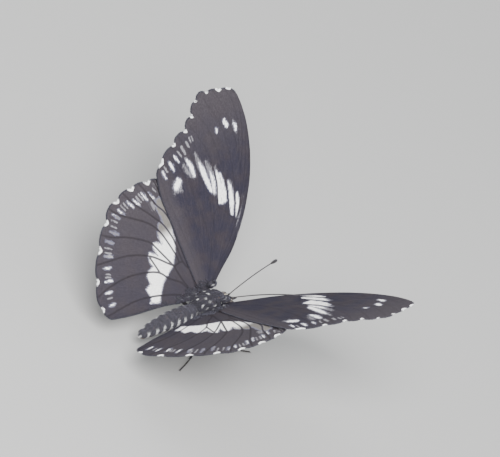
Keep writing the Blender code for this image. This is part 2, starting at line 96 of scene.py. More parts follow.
# How far the cells sag, whole at these distances from the veins and from the margin.
CELL_SAG, SAG_FROM_VEIN, SAG_FROM_MARGIN = 0.05, 2.0, 1.5
LOBE_ROUNDNESS = 2.6
FRINGE_INSET, FRINGE_STEP, FRINGE_STRAY, FRINGE_LIFTS = 0.3, 0.07, 0.12, (0.03, -0.03)
# How near to the edge of a white mark, a hatch and a vein the net is fine.
FINE_WHITE, FINE_HATCH, FINE_VEIN = 0.22, 0.15, 0.15
# Rows of scales fan out from a point inside the hinge. Shifts keep the right wing's pattern and the
# underside's apart from the others.
FAN_CENTRE, FAN_ROWS = 3.0, 24.0
RIGHT_SHIFT, RIGHT_TURN, UNDER_SHIFT = 90.0, 200.0, 7.0

# A wing in its own plane: out from the hinge, forward. A lobe is its tip and the notch after it.
# The white, grey, hatch and under_white marks are brush strokes, each a row of stations: out,
# forward, half width. Band is the outline of a white band. White turns to a dim cream, a warm tint
# with painted shade, from the first distance out to the second, and is white again past the third;
# the forewing's lie past its tip.
# Scales turn dusky over the faded span, veined is how dark the veins show, and hair grows in
# circles: out, forward, radius.
FOREWING = {
    "hinge": (0.0, 2.36, -0.2),
    "pitch": math.radians(0.8),
    "tucked": False,
    "costa": (
        (0.0, 1.5), (1.6, 3.1), (3.6, 5.6), (6.4, 9.3), (9.6, 12.4), (13.6, 15.6), (17.6, 18.1),
        (21.6, 20.1), (26.8, 21.8), (32.4, 22.7), (36.6, 22.6), (39.4, 22.1),
    ),
    "lobes": (
        ((40.9, 21.2), (41.4, 20.1)), ((41.9, 18.9), (41.85, 17.2)), ((42.6, 15.4), (42.3, 13.5)),
        ((42.9, 11.3), (41.3, 9.9)), ((40.6, 8.2), (38.3, 7.7)), ((37.8, 5.7), (35.6, 5.0)),
        ((35.5, 2.1), (33.6, 0.7)), ((32.9, -2.3), (30.8, -4.0)), ((29.8, -5.5), (28.4, -6.2)),
    ),
    "inner": ((24.0, -6.2), (18.0, -5.2), (12.0, -4.2), (6.0, -3.2), (2.0, -2.4), (0.0, -1.9)),
    "veins": {
        "costa": ((0.4, 1.3), (3.8, 5.2), (9.8, 12.0), (17.8, 17.6), (26.8, 21.2), (32.4, 22.1)),
        "Sc": ((0.6, 0.9), (4.6, 5.6), (8.9, 10.5), (13.0, 14.1), (17.4, 17.0), (21.4, 19.5)),
        "R": ((0.5, 0.2), (4.8, 4.7), (9.0, 9.3), (12.6, 12.5), (15.2, 14.5), (18.5, 16.0), (24.0, 17.4),
              (30.0, 18.1), (36.0, 17.5), (42.5, 15.4)),
        "R1": ((11.5, 11.6), (15.6, 15.2), (20.0, 17.8), (26.5, 21.2)),
        "R2": ((17.5, 15.6), (22.0, 18.2), (28.0, 20.6), (32.4, 22.2)),
        "R3": ((23.0, 17.2), (28.0, 19.5), (33.0, 21.0), (37.0, 21.5), (40.9, 21.1)),
        "R4": ((26.5, 17.8), (30.0, 19.1), (34.0, 20.1), (38.0, 20.0), (41.9, 18.9)),
        "M1": ((12.8, 12.3), (17.0, 13.8), (20.0, 14.5), (26.0, 15.3), (34.0, 14.9), (42.8, 11.3)),
        "M2": ((14.6, 11.0), (17.5, 11.85), (21.6, 12.35), (28.0, 12.3), (34.0, 11.3), (40.5, 8.2)),
        "cell_end": ((12.8, 12.3), (14.6, 11.0), (16.8, 8.5), (15.4, 6.6), (13.5, 5.9)),
        "M3": ((16.8, 8.5), (19.8, 9.25), (22.0, 9.85), (25.5, 9.95), (29.0, 9.4), (33.4, 7.9), (37.7, 5.7)),
        "Cu": ((0.6, -0.5), (5.0, 1.9), (10.0, 4.2), (13.5, 5.9)),
        "CuA1": ((13.5, 5.9), (19.5, 6.4), (26.0, 5.3), (31.0, 4.2), (35.4, 2.1)),
        "CuA2": ((8.6, 3.6), (15.0, 3.5), (21.5, 2.5), (28.0, 0.6), (32.8, -2.3)),
        "2A": ((0.8, -1.4), (6.0, -1.5), (14.0, -2.7), (22.0, -4.4), (29.4, -5.6)),
    },
    "white": (
        ((17.85, 9.45, 0.5), (20.0, 9.95, 0.6), (22.5, 10.35, 0.5), (24.8, 10.5, 0.1)),
        ((17.75, 10.3, 0.55), (21.0, 10.8, 0.6), (24.0, 10.7, 0.3)),
        ((17.85, 11.0, 0.45), (20.0, 11.45, 0.5), (22.4, 11.55, 0.3), (24.0, 11.3, 0.1)),
        ((14.3, 12.0, 0.3), (16.5, 12.6, 0.6), (18.9, 13.15, 0.6), (20.4, 13.3, 0.35), (21.6, 13.2, 0.05)),
        ((13.2, 13.0, 0.2), (15.0, 13.8, 0.42), (17.0, 14.5, 0.48), (18.4, 14.85, 0.15)),
        ((20.9, 7.75, 0.35), (22.5, 7.5, 0.6), (24.5, 7.05, 0.66), (26.4, 6.65, 0.55), (27.8, 6.35, 0.2)),
        ((20.4, 8.55, 0.25), (22.0, 8.9, 0.4), (23.8, 8.95, 0.35), (25.2, 8.8, 0.1)),
        ((25.6, 4.0, 0.3), (26.6, 4.0, 0.42), (28.3, 3.6, 0.5), (29.3, 3.2, 0.25)),
        ((24.5, -1.6, 0.72), (25.5, -0.7, 0.74)),
        ((27.2, -3.8, 0.2), (28.0, -4.1, 0.26), (28.8, -4.35, 0.14)),
        ((28.2, -1.25, 0.2), (29.3, -1.6, 0.32), (30.4, -2.0, 0.16)),
        ((29.8, 0.55, 0.18), (30.5, 0.25, 0.24), (31.3, -0.1, 0.1)),
        ((33.75, 16.75, 0.46), (34.75, 16.45, 0.46)),
        ((32.0, 19.2, 0.26), (32.8, 19.15, 0.36), (33.4, 19.05, 0.26)),
        ((33.0, 13.4, 0.22), (33.7, 13.65, 0.22)),
    ),
    "grey": (
        ((9.8, 12.1, 0.25), (12.3, 13.7, 0.4), (14.5, 15.0, 0.42), (17.0, 16.4, 0.2)),
        ((23.0, 10.6, 0.7), (25.6, 10.4, 0.2)),
        ((19.0, 13.6, 0.5), (21.6, 13.5, 0.15)),
        ((24.5, 7.1, 0.8), (27.6, 6.4, 0.65), (29.9, 5.9, 0.15)),
        ((20.2, 8.6, 0.4), (23.0, 9.0, 0.6), (25.6, 8.85, 0.5), (27.6, 8.5, 0.15)),
        ((25.6, 3.9, 0.5), (28.5, 3.4, 0.65), (29.8, 2.9, 0.2)),
        ((25.9, 3.2, 0.3), (26.6, 2.6, 0.35), (27.5, 2.2, 0.35), (28.5, 1.9, 0.25)),
        ((24.3, -1.5, 0.95), (25.4, -0.9, 0.95)),
        ((23.3, -2.2, 0.15), (24.4, -1.8, 0.5)),
        ((23.3, -0.6, 0.15), (24.4, -0.9, 0.5)),
        ((32.0, 19.2, 0.6), (33.4, 19.05, 0.5)),
    ),
    "hatch": (
        ((32.9, 5.5, 0.16), (34.0, 5.3, 0.16)),
        ((33.1, 6.2, 0.14), (34.1, 6.05, 0.14)),
        ((32.1, 4.6, 0.26), (33.3, 4.15, 0.28)),
        ((30.9, 3.1, 0.28), (32.6, 2.55, 0.32)),
        ((30.6, 1.9, 0.16), (32.0, 1.1, 0.16)),
        ((28.4, -3.1, 0.16), (29.7, -3.6, 0.16)),
    ),
    "under_white": (
        ((4.6, 2.2, 0.4), (5.4, 2.7, 0.4)),
        ((8.0, 5.6, 0.55), (9.4, 6.6, 0.5)),
        ((11.6, 8.0, 0.6), (12.8, 9.0, 0.55)),
        ((38.6, 15.6, 0.25), (39.6, 15.4, 0.25)),
        ((38.2, 12.4, 0.25), (39.2, 12.0, 0.25)),
    ),
    # White patches in the notches of the margin and its fringe, as out, forward and radius.
    "bays": (
        (41.6, 20.1, 0.8), (41.75, 17.1, 0.9), (42.2, 13.55, 0.4), (41.1, 10.1, 0.45), (38.1, 7.8, 0.6),
        (35.5, 4.95, 0.65), (33.6, 0.65, 0.6), (30.8, -4.1, 1.1),
    ),
    "band": (),
    "shaded_cream": (60.0, 61.0, 62.0),
    "faded": (22.0, 44.0),
    "veined": 0.1,
    "hair": ((0.4, -0.8, 2.3),),
}
HINDWING = {
    "hinge": (-0.9, 2.24, -1.4),
    "pitch": math.radians(-3.6),
    "tucked": True,
    "costa": ((0.0, -0.4), (2.4, 1.3), (6.0, 2.5), (12.0, 3.0), (18.5, 2.5), (23.0, 1.3), (25.6, 0.4)),
    "lobes": (
        ((27.2, -0.6), (27.9, -2.1)), ((29.2, -4.1), (28.7, -5.7)), ((29.7, -8.2), (28.9, -10.3)),
        ((29.2, -13.0), (27.6, -14.9)), ((27.2, -17.8), (24.2, -19.2)), ((22.4, -21.9), (19.0, -23.1)),
        ((16.5, -25.5), (12.8, -26.2)), ((9.5, -27.8), (6.5, -27.1)), ((4.6, -26.8), (3.4, -25.2)),
    ),
    "inner": ((2.4, -20.0), (1.5, -12.0), (0.6, -7.5), (0.1, -4.6), (0.0, -3.4)),
    "veins": {
        "Sc_R1": ((0.5, -0.8), (6.0, 1.0), (14.0, 0.4), (20.0, -0.9), (23.0, -2.4), (25.4, -3.2),
                  (29.1, -4.1)),
        "Rs": ((0.6, -1.5), (6.0, -1.7), (12.0, -2.3), (17.2, -2.75), (19.2, -3.0), (21.4, -3.85),
               (23.4, -5.3), (26.1, -6.4), (29.6, -8.2)),
        "M1": ((7.0, -1.8), (9.0, -2.9), (14.2, -3.5), (16.1, -4.0), (18.8, -5.2), (22.3, -8.0),
               (25.8, -11.0), (29.1, -13.0)),
        "M2": ((9.2, -3.9), (11.3, -4.3), (14.7, -5.4), (17.7, -6.7), (20.6, -9.2), (24.9, -15.7),
               (27.1, -17.8)),
        "cell_end": ((9.0, -2.9), (9.2, -3.9), (8.9, -5.6)),
        "M3": ((8.9, -5.6), (12.7, -7.8), (14.8, -9.0), (16.4, -10.2), (19.2, -15.0), (20.8, -19.3),
               (22.3, -21.8)),
        "Cu": ((0.7, -2.3), (3.6, -3.8), (6.6, -5.0), (8.9, -5.6)),
        "CuA1": ((8.9, -5.6), (10.1, -7.0), (13.3, -11.1), (15.4, -16.5), (16.1, -22.3), (16.4, -25.4)),
        "CuA2": ((1.0, -2.5), (3.2, -3.9), (5.0, -5.3), (6.9, -8.0), (8.8, -9.8), (10.0, -12.6),
                 (11.0, -18.0), (10.6, -23.7), (9.5, -27.7)),
        "fold": ((8.8, -9.8), (10.6, -10.4), (13.0, -11.2)),
        "2A": ((0.9, -3.3), (3.4, -9.2), (5.2, -17.5), (4.7, -26.6)),
    },
    "white": (
        ((24.4, -5.1, 0.06), (25.3, -5.6, 0.22), (26.6, -6.3, 0.04)),
        ((25.3, -7.2, 0.12), (25.9, -7.5, 0.23), (27.3, -8.1, 0.03)),
        ((24.8, -9.6, 0.1), (25.6, -10.1, 0.2), (26.7, -10.8, 0.03)),
        ((25.0, -11.4, 0.12), (25.7, -11.8, 0.21), (26.8, -12.5, 0.03)),
        ((24.4, -14.3, 0.1), (24.9, -14.8, 0.21), (26.0, -15.4, 0.03)),
        ((24.1, -15.9, 0.12), (24.6, -16.4, 0.21), (25.5, -17.2, 0.03)),
        ((20.8, -17.4, 0.1), (21.3, -18.1, 0.21), (22.1, -19.1, 0.03)),
        ((19.3, -19.3, 0.1), (19.8, -20.0, 0.21), (20.6, -21.1, 0.03)),
        ((16.8, -20.7, 0.12), (17.1, -21.5, 0.21), (17.5, -22.5, 0.03)),
        ((14.5, -22.0, 0.12), (14.7, -22.9, 0.21), (15.0, -23.8, 0.03)),
        ((11.7, -22.6, 0.12), (11.9, -23.5, 0.21), (12.1, -24.4, 0.03)),
        ((9.4, -23.6, 0.12), (9.5, -24.5, 0.2), (9.6, -25.3, 0.03)),
        ((6.6, -23.8, 0.12), (6.6, -24.6, 0.2), (6.6, -25.4, 0.03)),
    ),
    "grey": (
        ((25.6, -1.2, 0.35), (26.6, -1.9, 0.45), (27.6, -2.6, 0.3)),
        ((26.2, -2.8, 0.3), (27.2, -3.4, 0.4), (28.0, -4.0, 0.2)),
        ((24.0, -2.2, 0.3), (25.2, -2.4, 0.3)),
        ((23.0, -6.0, 0.4), (24.2, -6.4, 0.3)),
    ),
    "hatch": (
        ((26.2, -4.3, 0.14), (27.2, -4.9, 0.14)),
        ((25.6, -8.2, 0.14), (27.3, -9.0, 0.16)),
        ((25.4, -9.0, 0.14), (27.0, -9.8, 0.16)),
        ((25.3, -12.8, 0.14), (26.7, -13.5, 0.16)),
        ((25.1, -13.6, 0.14), (26.5, -14.4, 0.16)),
        ((23.3, -16.6, 0.14), (24.4, -17.9, 0.16)),
        ((22.3, -17.4, 0.14), (23.3, -18.6, 0.16)),
        ((18.3, -20.2, 0.14), (19.2, -21.8, 0.16)),
        ((17.4, -20.7, 0.14), (18.2, -22.2, 0.16)),
        ((13.2, -22.6, 0.14), (13.6, -23.8, 0.16)),
        ((12.5, -22.8, 0.14), (12.9, -24.0, 0.16)),
        ((8.2, -23.9, 0.14), (8.3, -25.1, 0.16)),
    ),
    "under_white": (
        ((2.0, -3.0, 0.45), (2.6, -3.6, 0.45)),
        ((4.6, -0.6, 0.5), (5.6, -0.5, 0.5)),
        ((6.2, -4.0, 0.5), (7.0, -4.6, 0.5)),
    ),
    "bays": (
        (27.9, -2.1, 0.5), (28.75, -5.7, 1.05), (28.95, -10.4, 1.0), (27.6, -15.1, 0.9), (24.1, -19.3, 0.9),
        (18.9, -23.1, 0.85), (12.7, -26.3, 0.8), (6.5, -27.1, 0.7),
    ),
    "band": (
        (2.6, -12.2), (4.4, -11.2), (6.3, -9.8), (7.1, -9.0), (7.7, -8.0), (8.4, -7.0), (9.1, -5.9),
        (10.6, -4.9), (11.9, -4.2), (13.0, -3.7), (14.6, -3.3), (17.0, -2.9), (19.3, -2.85), (21.8, -2.9),
        (23.9, -3.3),
        (24.7, -3.9), (24.4, -4.8), (23.3, -5.5), (22.2, -5.5), (20.4, -5.0), (18.9, -4.95), (19.5, -5.9),
        (18.9, -6.4), (17.9, -6.6), (17.4, -7.2), (16.4, -7.3), (14.4, -6.9), (15.5, -8.2), (15.7, -9.1),
        (14.7, -9.6), (12.5, -8.9), (14.1, -10.8), (13.6, -11.4), (12.5, -11.6), (10.7, -11.1), (10.3, -12.5),
        (9.3, -13.4), (7.4, -13.0), (6.6, -14.6), (4.6, -14.0), (3.4, -14.6),
    ),
    "shaded_cream": (14.5, 18.0, 24.9),
    "faded": (-20.0, 40.0),
    "veined": 0.45,
    "hair": ((0.6, -3.0, 2.6), (1.0, -6.5, 1.7), (1.2, -10.5, 1.3), (1.8, -14.5, 0.9)),
}

# The body: forward, up of the centre, half width, half height.
THORAX_RINGS = (
    (-5.4, -2.5, 1.9, 2.3), (-4.4, -2.35, 2.5, 2.9), (-3.4, -2.3, 2.8, 3.3), (-1.6, -2.2, 3.05, 3.55),
    (0.4, -2.3, 3.05, 3.6), (1.7, -2.65, 2.75, 3.3), (2.6, -3.1, 2.25, 2.75), (3.45, -3.6, 1.65, 2.0),
)
ABDOMEN_FRONT, ABDOMEN_REAR, ABDOMEN_SEGMENTS = -5.7, -21.6, 8
ABDOMEN_AXIS = ((-5.0, -2.55), (-10.5, -2.35), (-16.0, -2.75), (-21.6, -3.9))
ABDOMEN_HALF = ((-5.0, 1.75), (-8.0, 2.1), (-13.0, 2.15), (-18.0, 1.75), (-20.6, 1.15), (-21.6, 0.5))
HEAD_CENTRE, HEAD_HALF = (5.0, 0.0, -3.95), (1.4, 1.55, 1.6)
EYE_CENTRE, EYE_HALF = (5.1, 1.35, -3.8), (1.2, 1.0, 1.35)
# How far inwards the eye's rim lies, as a share of the eye's half width.
EYE_RIM_INWARD = 0.42
TEGULA_CENTRE, TEGULA_HALF = (1.1, 2.55, 1.15), (1.35, 1.05, 0.5)
TEGULA_COAT_DEPTH = (0.2, 0.4, 0.22)
COAT_DEPTH = 0.32
# How much slimmer the thorax's skin is in front, and where that sets in and is whole, forward.
SHOULDER_SLIMMING, SHOULDER_SPAN = 0.5, (0.5, 2.4)
# Where the head's coat takes over, forward, and the abdomen's, behind the origin.
HEAD_SPAN, REAR_COAT_SPAN = (3.3, 3.9), (5.0, 6.2)
# Two lumps that fill the face below and in front: centre and half size.
FACE = (((6.0, 0.0, -3.9), (0.75, 0.75, 1.0)), ((5.6, 0.0, -5.0), (0.7, 0.7, 0.6)))
SKIN_VOXEL, SKIN_SMOOTHING = 0.15, 5
# How the coat stands on thorax, abdomen and head: degrees off the skin, and length.
COAT_RISE, COAT_LENGTH = (34.0, 14.0, 48.0), (0.85, 0.62, 0.5)
# The span of the OFBake maps. The body's: its rear end behind the origin, and its length. The
# wings': out, along, and the rear end behind the hinge.
BODY_UNWRAP, WING_UNWRAP = (23.0, 30.0), (48.0, 60.0, 30.0)
# The small coats: tufts on a square millimetre, where they spread over skin, and a tuft's size.
COATS = {
    "fringe": {"Width": 0.13, "Length": 0.42, "Unevenness": 0.05, "Seed": 4},
    "wing_hair": {"Tufts": 16.0, "Width": 0.13, "Length": 1.2, "Unevenness": 0.22, "Seed": 6},
    "tegula": {"Tufts": 34.0, "Width": 0.12, "Length": 1.0, "Unevenness": 0.16, "Seed": 13},
    "eye_rim": {"Width": 0.22, "Length": 0.42, "Unevenness": 0.1, "Seed": 15},
    "palp": {"Tufts": 60.0, "Width": 0.16, "Length": 0.5, "Unevenness": 0.15, "Seed": 17},
    "walking_leg": {"Tufts": 26.0, "Width": 0.12, "Length": 0.42, "Unevenness": 0.15, "Seed": 21},
    "foreleg": {"Tufts": 40.0, "Width": 0.11, "Length": 0.8, "Unevenness": 0.2, "Seed": 23},
}
# Each coat of the body: from and up to how far forward, its tuft, density, width and unevenness.
BODY_COATS = (
    ("prothorax_coat", -0.8, 3.5, "lock", 26.0, 0.14, 0.24),
    ("metathorax_coat", -5.6, -0.8, "lock", 26.0, 0.14, 0.24),
    ("head_coat", 3.5, 9.0, "lock", 32.0, 0.11, 0.3),
    ("abdomen_coat", -30.0, -5.6, "scale", 26.0, 0.2, 0.12),
)

# White spots of the coat: where they root, radius, brightness. Both sides carry the paired ones.
PAIRED_SPOTS = (
    ((0.37, 3.0, 0.4), 0.17, 0.9), ((-1.46, 2.59, 0.05), 0.16, 0.8), ((1.22, 2.26, 1.18), 0.13, 0.6),
    ((0.78, 1.94, 0.01), 0.21, 1.0), ((-1.03, 1.97, 0.04), 0.18, 1.0), ((-4.0, 0.95, 0.15), 0.16, 0.8),
    ((-3.38, 1.81, -0.26), 0.17, 0.3), ((-4.52, 1.79, -1.12), 0.18, 0.22), ((-1.72, 2.38, -0.64), 0.18, 0.22),
    ((-4.77, 1.13, -0.56), 0.16, 0.25), ((-5.15, 2.82, -0.92), 0.2, 0.25), ((-3.11, 2.91, -0.91), 0.2, 0.25),
    ((-7.45, 2.91, -0.86), 0.2, 0.22), ((-0.58, 3.47, -0.54), 0.2, 0.2), ((-0.68, 4.31, 1.46), 0.2, 0.3),
    ((0.3, 3.0, -2.2), 0.3, 0.8), ((1.6, 2.5, -3.6), 0.3, 0.8), ((-0.6, 2.8, -4.2), 0.3, 0.8),
    ((-3.2, 2.6, -3.4), 0.26, 0.6), ((3.3, 1.2, -2.3), 0.2, 0.7), ((3.9, 1.4, -4.2), 0.22, 0.6),
)
SINGLE_SPOTS = (
    ((-1.42, 0.67, 0.97), 0.19, 1.0), ((-2.92, -0.07, 0.77), 0.19, 1.0), ((4.3, 0.07, -2.85), 0.26, 1.0),
    ((-2.27, -1.0, 0.67), 0.18, 0.35), ((-6.06, -0.53, -1.04), 0.2, 0.3),
)
ANTENNA_ROOT, ANTENNA_REACH, ANTENNA_BOW = (5.75, 0.5, -2.45), (20.7, 5.3, -3.2), 0.9
ANTENNA_RADIUS, CLUB_RADIUS, CLUB_START = 0.125, 0.36, 0.84
ANTENNA_RINGS = 44
PALP_RADIUS = 0.27
PALP_KNOTS = ((5.6, 0.78, -5.1), (6.9, 0.86, -5.6), (8.2, 0.8, -5.75), (9.4, 0.62, -5.45))
PROBOSCIS_ROOT, PROBOSCIS_RADIUS = (5.7, 0.0, -5.55), 0.19
COIL_RADIUS, COIL_STEP, COIL_TURNS = 1.35, 0.5, 2.3
FORELEG_KNOTS = ((2.4, 0.9, -5.5), (3.3, 1.4, -6.4), (4.3, 1.3, -7.0), (5.1, 1.05, -7.3))
# Walking legs: the hip in the body frame, then points over the floor (left, forward, height).
LEGS = {
    "mid": {
        "hip": (0.9, 1.15, -5.2), "knee": (5.6, 2.6, 7.2), "ankle": (8.4, 5.4, 0.95), "claw": (10.2, 9.1),
    },
    "hind": {
        "hip": (-2.9, 1.1, -5.0), "knee": (5.4, -5.6, 6.6), "ankle": (8.0, -9.2, 0.95), "claw": (9.5, -13.3),
    },
}
TARSUS_HEIGHT = 0.2
HEEL_SHARE = 0.3
# Radii along the leg's segments, and the tarsal segments' shares of the foot's length.
FEMUR, TIBIA = (0.3, 0.40, 0.38, 0.3, 0.27), (0.24, 0.2, 0.19, 0.2, 0.24)
TARSOMERE_RADII = (0.15, 0.16, 0.17, 0.19)
TARSOMERES = (0.34, 0.2, 0.16, 0.13, 0.17)
FORELEG_RADIUS = 0.28


# Space, camera and light


def way_to_world(way):
    return (TO_WORLD.to_3x3() @ Vector(way)).normalized()


def make_camera():
    right = way_to_world(CAMERA_RIGHT)
    up = way_to_world(CAMERA_UP)
    back = right.cross(up).normalized()
    up = back.cross(right)
    target = TO_WORLD @ (Vector(CAMERA_RIGHT) * VIEW_CENTRE[0] + Vector(CAMERA_UP) * VIEW_CENTRE[1])
    data = bpy.data.cameras.new("camera")
    data.lens = LENS
    data.sensor_width = SENSOR
    data.clip_start = 0.01
    data.clip_end = 20.0
    camera = new_object("camera", data)
    distance = VIEW_WIDTH * MM * LENS / SENSOR
    turn = Matrix((right, up, back)).transposed().to_4x4()
    camera.matrix_world = Matrix.Translation(target + back * distance) @ turn
    bpy.context.scene.camera = camera


def make_stage():
    """A pale floor under even studio light."""
    mesh = bpy.data.meshes.new("floor")
    corners = [(x * FLOOR_REACH, y * FLOOR_REACH, 0) for x, y in ((-1, -1), (1, -1), (1, 1), (-1, 1))]
    mesh.from_pydata(corners, [], [(0, 1, 2, 3)])
    floor = new_object("floor", mesh)
    material = bpy.data.materials.new("pale_floor")
    material.use_nodes = True
    shader = material.node_tree.nodes["Principled BSDF"]
    shader.inputs["Base Color"].default_value = FLOOR_COLOUR
    shader.inputs["Roughness"].default_value = FLOOR_ROUGHNESS
    mesh.materials.append(material)
    world = bpy.data.worlds.new("studio")
    world.use_nodes = True
    sky = world.node_tree.nodes["Background"]
    sky.inputs["Color"].default_value = SKY_COLOUR
    sky.inputs["Strength"].default_value = SKY_STRENGTH
    bpy.context.scene.world = world


def area_light(name, place, size, power):
    data = bpy.data.lights.new(name, "AREA")
    data.shape = "DISK"
    data.size = size
    data.energy = power
    light = new_object(name, data)
    light.location = place
    light.rotation_mode = "QUATERNION"
    light.rotation_quaternion = (Vector((0, 0, 0.01)) - Vector(place)).to_track_quat("-Z", "Y")


# Curves and meshes


def smooth_curve(knots, step):
    """Points about a step apart along a Catmull-Rom curve through the knots."""
    knots = np.array(knots, float)
    padded = np.vstack([2 * knots[0] - knots[1], knots, 2 * knots[-1] - knots[-2]])
    found = []
    for i in range(len(knots) - 1):
        a, b, c, d = padded[i : i + 4]
        count = max(1, round(np.linalg.norm(c - b) / step))
        for t in np.arange(count) / count:
            squared, cubed = 2 * a - 5 * b + 4 * c - d, 3 * b - 3 * c + d - a
            found.append(0.5 * (2 * b + (c - a) * t + squared * t**2 + cubed * t**3))
    found.append(knots[-1])
    return np.array(found)


def smooth_step(values, low, high):
    share = np.clip((values - low) / (high - low), 0, 1)
    return share * share * (3 - 2 * share)


def unit(vectors):
    return vectors / np.maximum(np.linalg.norm(vectors, axis=-1, keepdims=True), 1e-9)


def along_skin(ways, normals):
    """The part of each way that runs along the skin."""
    return unit(ways - normals * np.sum(ways * normals, axis=1)[:, None])


def on_side(points, side):
    """Points of the left side, or their mirror image where the side is -1."""
    return np.asarray(points, float) * (1.0, side, 1.0)


def tube_faces(rings, sides):
    """Faces that join rings of points, with a fan over each end."""
    faces = []
    for ring in range(rings - 1):
        for side in range(sides):
            after = (side + 1) % sides
            a, b = ring * sides + side, ring * sides + after
            faces.append((a, b, b + sides, a + sides))
    first, top = rings * sides, (rings - 1) * sides
    for side in range(sides):
        after = (side + 1) % sides
        faces.append((first, after, side))
        faces.append((first + 1, top + side, top + after))
    return faces


def sweep(path, radii, sides, across=None):
    """A closed tube along a path. Each radius is one number or a pair: sideways and upright."""
    path = np.asarray(path, float)
    ways = unit(np.gradient(path, axis=0))
    reference = np.array(across if across is not None else (0.0, 0.0, 1.0))
    rings = []
    for centre, way, radius in zip(path, ways, radii):
        side_way = np.cross(way, reference)
        side_way = side_way / np.linalg.norm(side_way)
        up_way = np.cross(side_way, way)
        wide, high = radius if np.ndim(radius) else (radius, radius)
        turns = 2 * math.pi * np.arange(sides) / sides
        sideways, upright = np.outer(np.cos(turns), side_way), np.outer(np.sin(turns), up_way)
        rings.append(centre + wide * sideways + high * upright)
    return np.vstack(rings + [path[:1], path[-1:]]), tube_faces(len(path), sides)


def ellipsoid(centre, half, sides=48, rows=30, roll=0.0):
    """An ellipsoid with its poles ahead and behind."""
    angles = math.pi * np.arange(1, rows) / rows
    turns = 2 * math.pi * np.arange(sides) / sides
    ball = [(-math.cos(a), math.sin(a) * math.sin(t), math.sin(a) * math.cos(t))
            for a in angles for t in turns]
    ball = np.array(ball + [(-1, 0, 0), (1, 0, 0)])
    spin = np.array(Matrix.Rotation(roll, 3, "X"))
    return (ball * half) @ spin.T + centre, tube_faces(rows - 1, sides)


def joined(shells):
    """Several closed shells as one list of points and faces."""
    points, faces, start = [], [], 0
    for shell_points, shell_faces in shells:
        points.append(shell_points)
        faces += [tuple(i + start for i in face) for face in shell_faces]
        start += len(shell_points)
    return np.vstack(points), faces


def new_mesh(name, points, faces):
    """A mesh in body millimetres with its faces turned outwards."""
    mesh = bpy.data.meshes.new(name)
    mesh.from_pydata(np.asarray(points).tolist(), [], [tuple(int(i) for i in face) for face in faces])
    mesh.calc_loop_triangles()
    corners = np.asarray(points)[np.array([t.vertices for t in mesh.loop_triangles])]
    if np.einsum("ij,ij->i", corners[:, 0], np.cross(corners[:, 1], corners[:, 2])).sum() < 0:
        mesh.flip_normals()
    return mesh


def vertex_normals(points, faces):
    mesh = new_mesh("normals", points, faces)
    normals = np.array([n.vector for n in mesh.vertex_normals])
    bpy.data.meshes.remove(mesh)
    return normals


def set_attribute(mesh, name, values):
    values = np.asarray(values, np.float32)
    kind = "FLOAT" if values.ndim == 1 else "FLOAT_VECTOR"
    made = mesh.attributes.new(name, kind, "POINT")
    made.data.foreach_set("value" if values.ndim == 1 else "vector", values.ravel())


def new_object(name, data):
    item = bpy.data.objects.new(name, data)
    bpy.context.scene.collection.objects.link(item)
    return item


def finished(name, mesh, material, nodes=(), attributes=None):
    """Carries a mesh from body millimetres to the floor and sets it on the body's root as a piece."""
    for key, values in (attributes or {}).items():
        set_attribute(mesh, key, values)
    mesh.transform(TO_WORLD)
    if material is not None:
        mesh.materials.append(material)
    mesh.shade_smooth()
    mesh.name = name
    piece = new_object(name, mesh)
    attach(piece, "root")
    if nodes:
        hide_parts(*nodes)
    return piece


def hand_in(kind, word, what, shape, material, slot, **attributes):
    """Makes one side's piece in place of the solid of that kind and side, and hides that solid."""
    solid = f"{kind}_{word}"
    finished(f"{solid}_{what}", new_mesh(solid, *shape), material, [solid], attributes)


# Shader helpers


def node(tree, kind, inputs=None, **settings):
    """Adds a node, sets its properties, and links or sets its inputs by name or number."""
    made = tree.nodes.new(kind)
    for key, value in settings.items():
        setattr(made, key, value)
    for key, value in (inputs or {}).items():
        if isinstance(value, bpy.types.NodeSocket):
            tree.links.new(value, made.inputs[key])
        else:
            made.inputs[key].default_value = value
    return made


def math_node(tree, operation, a, b=0.0, c=0.0):
    return node(tree, "ShaderNodeMath", {0: a, 1: b, 2: c}, operation=operation).outputs[0]


def times(tree, a, b):
    return math_node(tree, "MULTIPLY", a, b)


def line(tree, value, slope, start):
    """A straight line over a value."""
    return math_node(tree, "MULTIPLY_ADD", value, slope, start)


def mix_colour(tree, share, a, b, blend="MIX"):
    made = node(tree, "ShaderNodeMix", {0: share, 6: a, 7: b}, data_type="RGBA", blend_type=blend)
    return made.outputs[2]


def attribute(tree, name, output="Fac"):
    return node(tree, "ShaderNodeAttribute", attribute_name=name).outputs[output]


def ramp(tree, value, low, high):
    """A smooth step from 0 at low to 1 at high."""
    inputs = {"Value": value, "From Min": low, "From Max": high}
    return node(tree, "ShaderNodeMapRange", inputs, interpolation_type="SMOOTHSTEP").outputs[0]


def shaded(tree, colour, value):
    """A colour darkened by a grey value."""
    grey = node(tree, "ShaderNodeCombineColor", {0: value, 1: value, 2: value}).outputs[0]
    return mix_colour(tree, 1.0, colour, grey, "MULTIPLY")


def stretched(tree, place, stretch):
    return node(tree, "ShaderNodeMapping", {"Vector": place, "Scale": stretch}).outputs[0]


def noise(tree, place, scale, detail=3.0):
    return node(tree, "ShaderNodeTexNoise", {"Vector": place, "Scale": scale, "Detail": detail}).outputs[0]


def cells(tree, place, scale):
    """Cells like single scales: a random shade for each, and the distance from its middle."""
    made = node(tree, "ShaderNodeTexVoronoi", {"Vector": place, "Scale": scale}).outputs
    return node(tree, "ShaderNodeSeparateColor", {0: made["Color"]}).outputs[0], made["Distance"]


def object_place(tree):
    return node(tree, "ShaderNodeTexCoord").outputs["Object"]


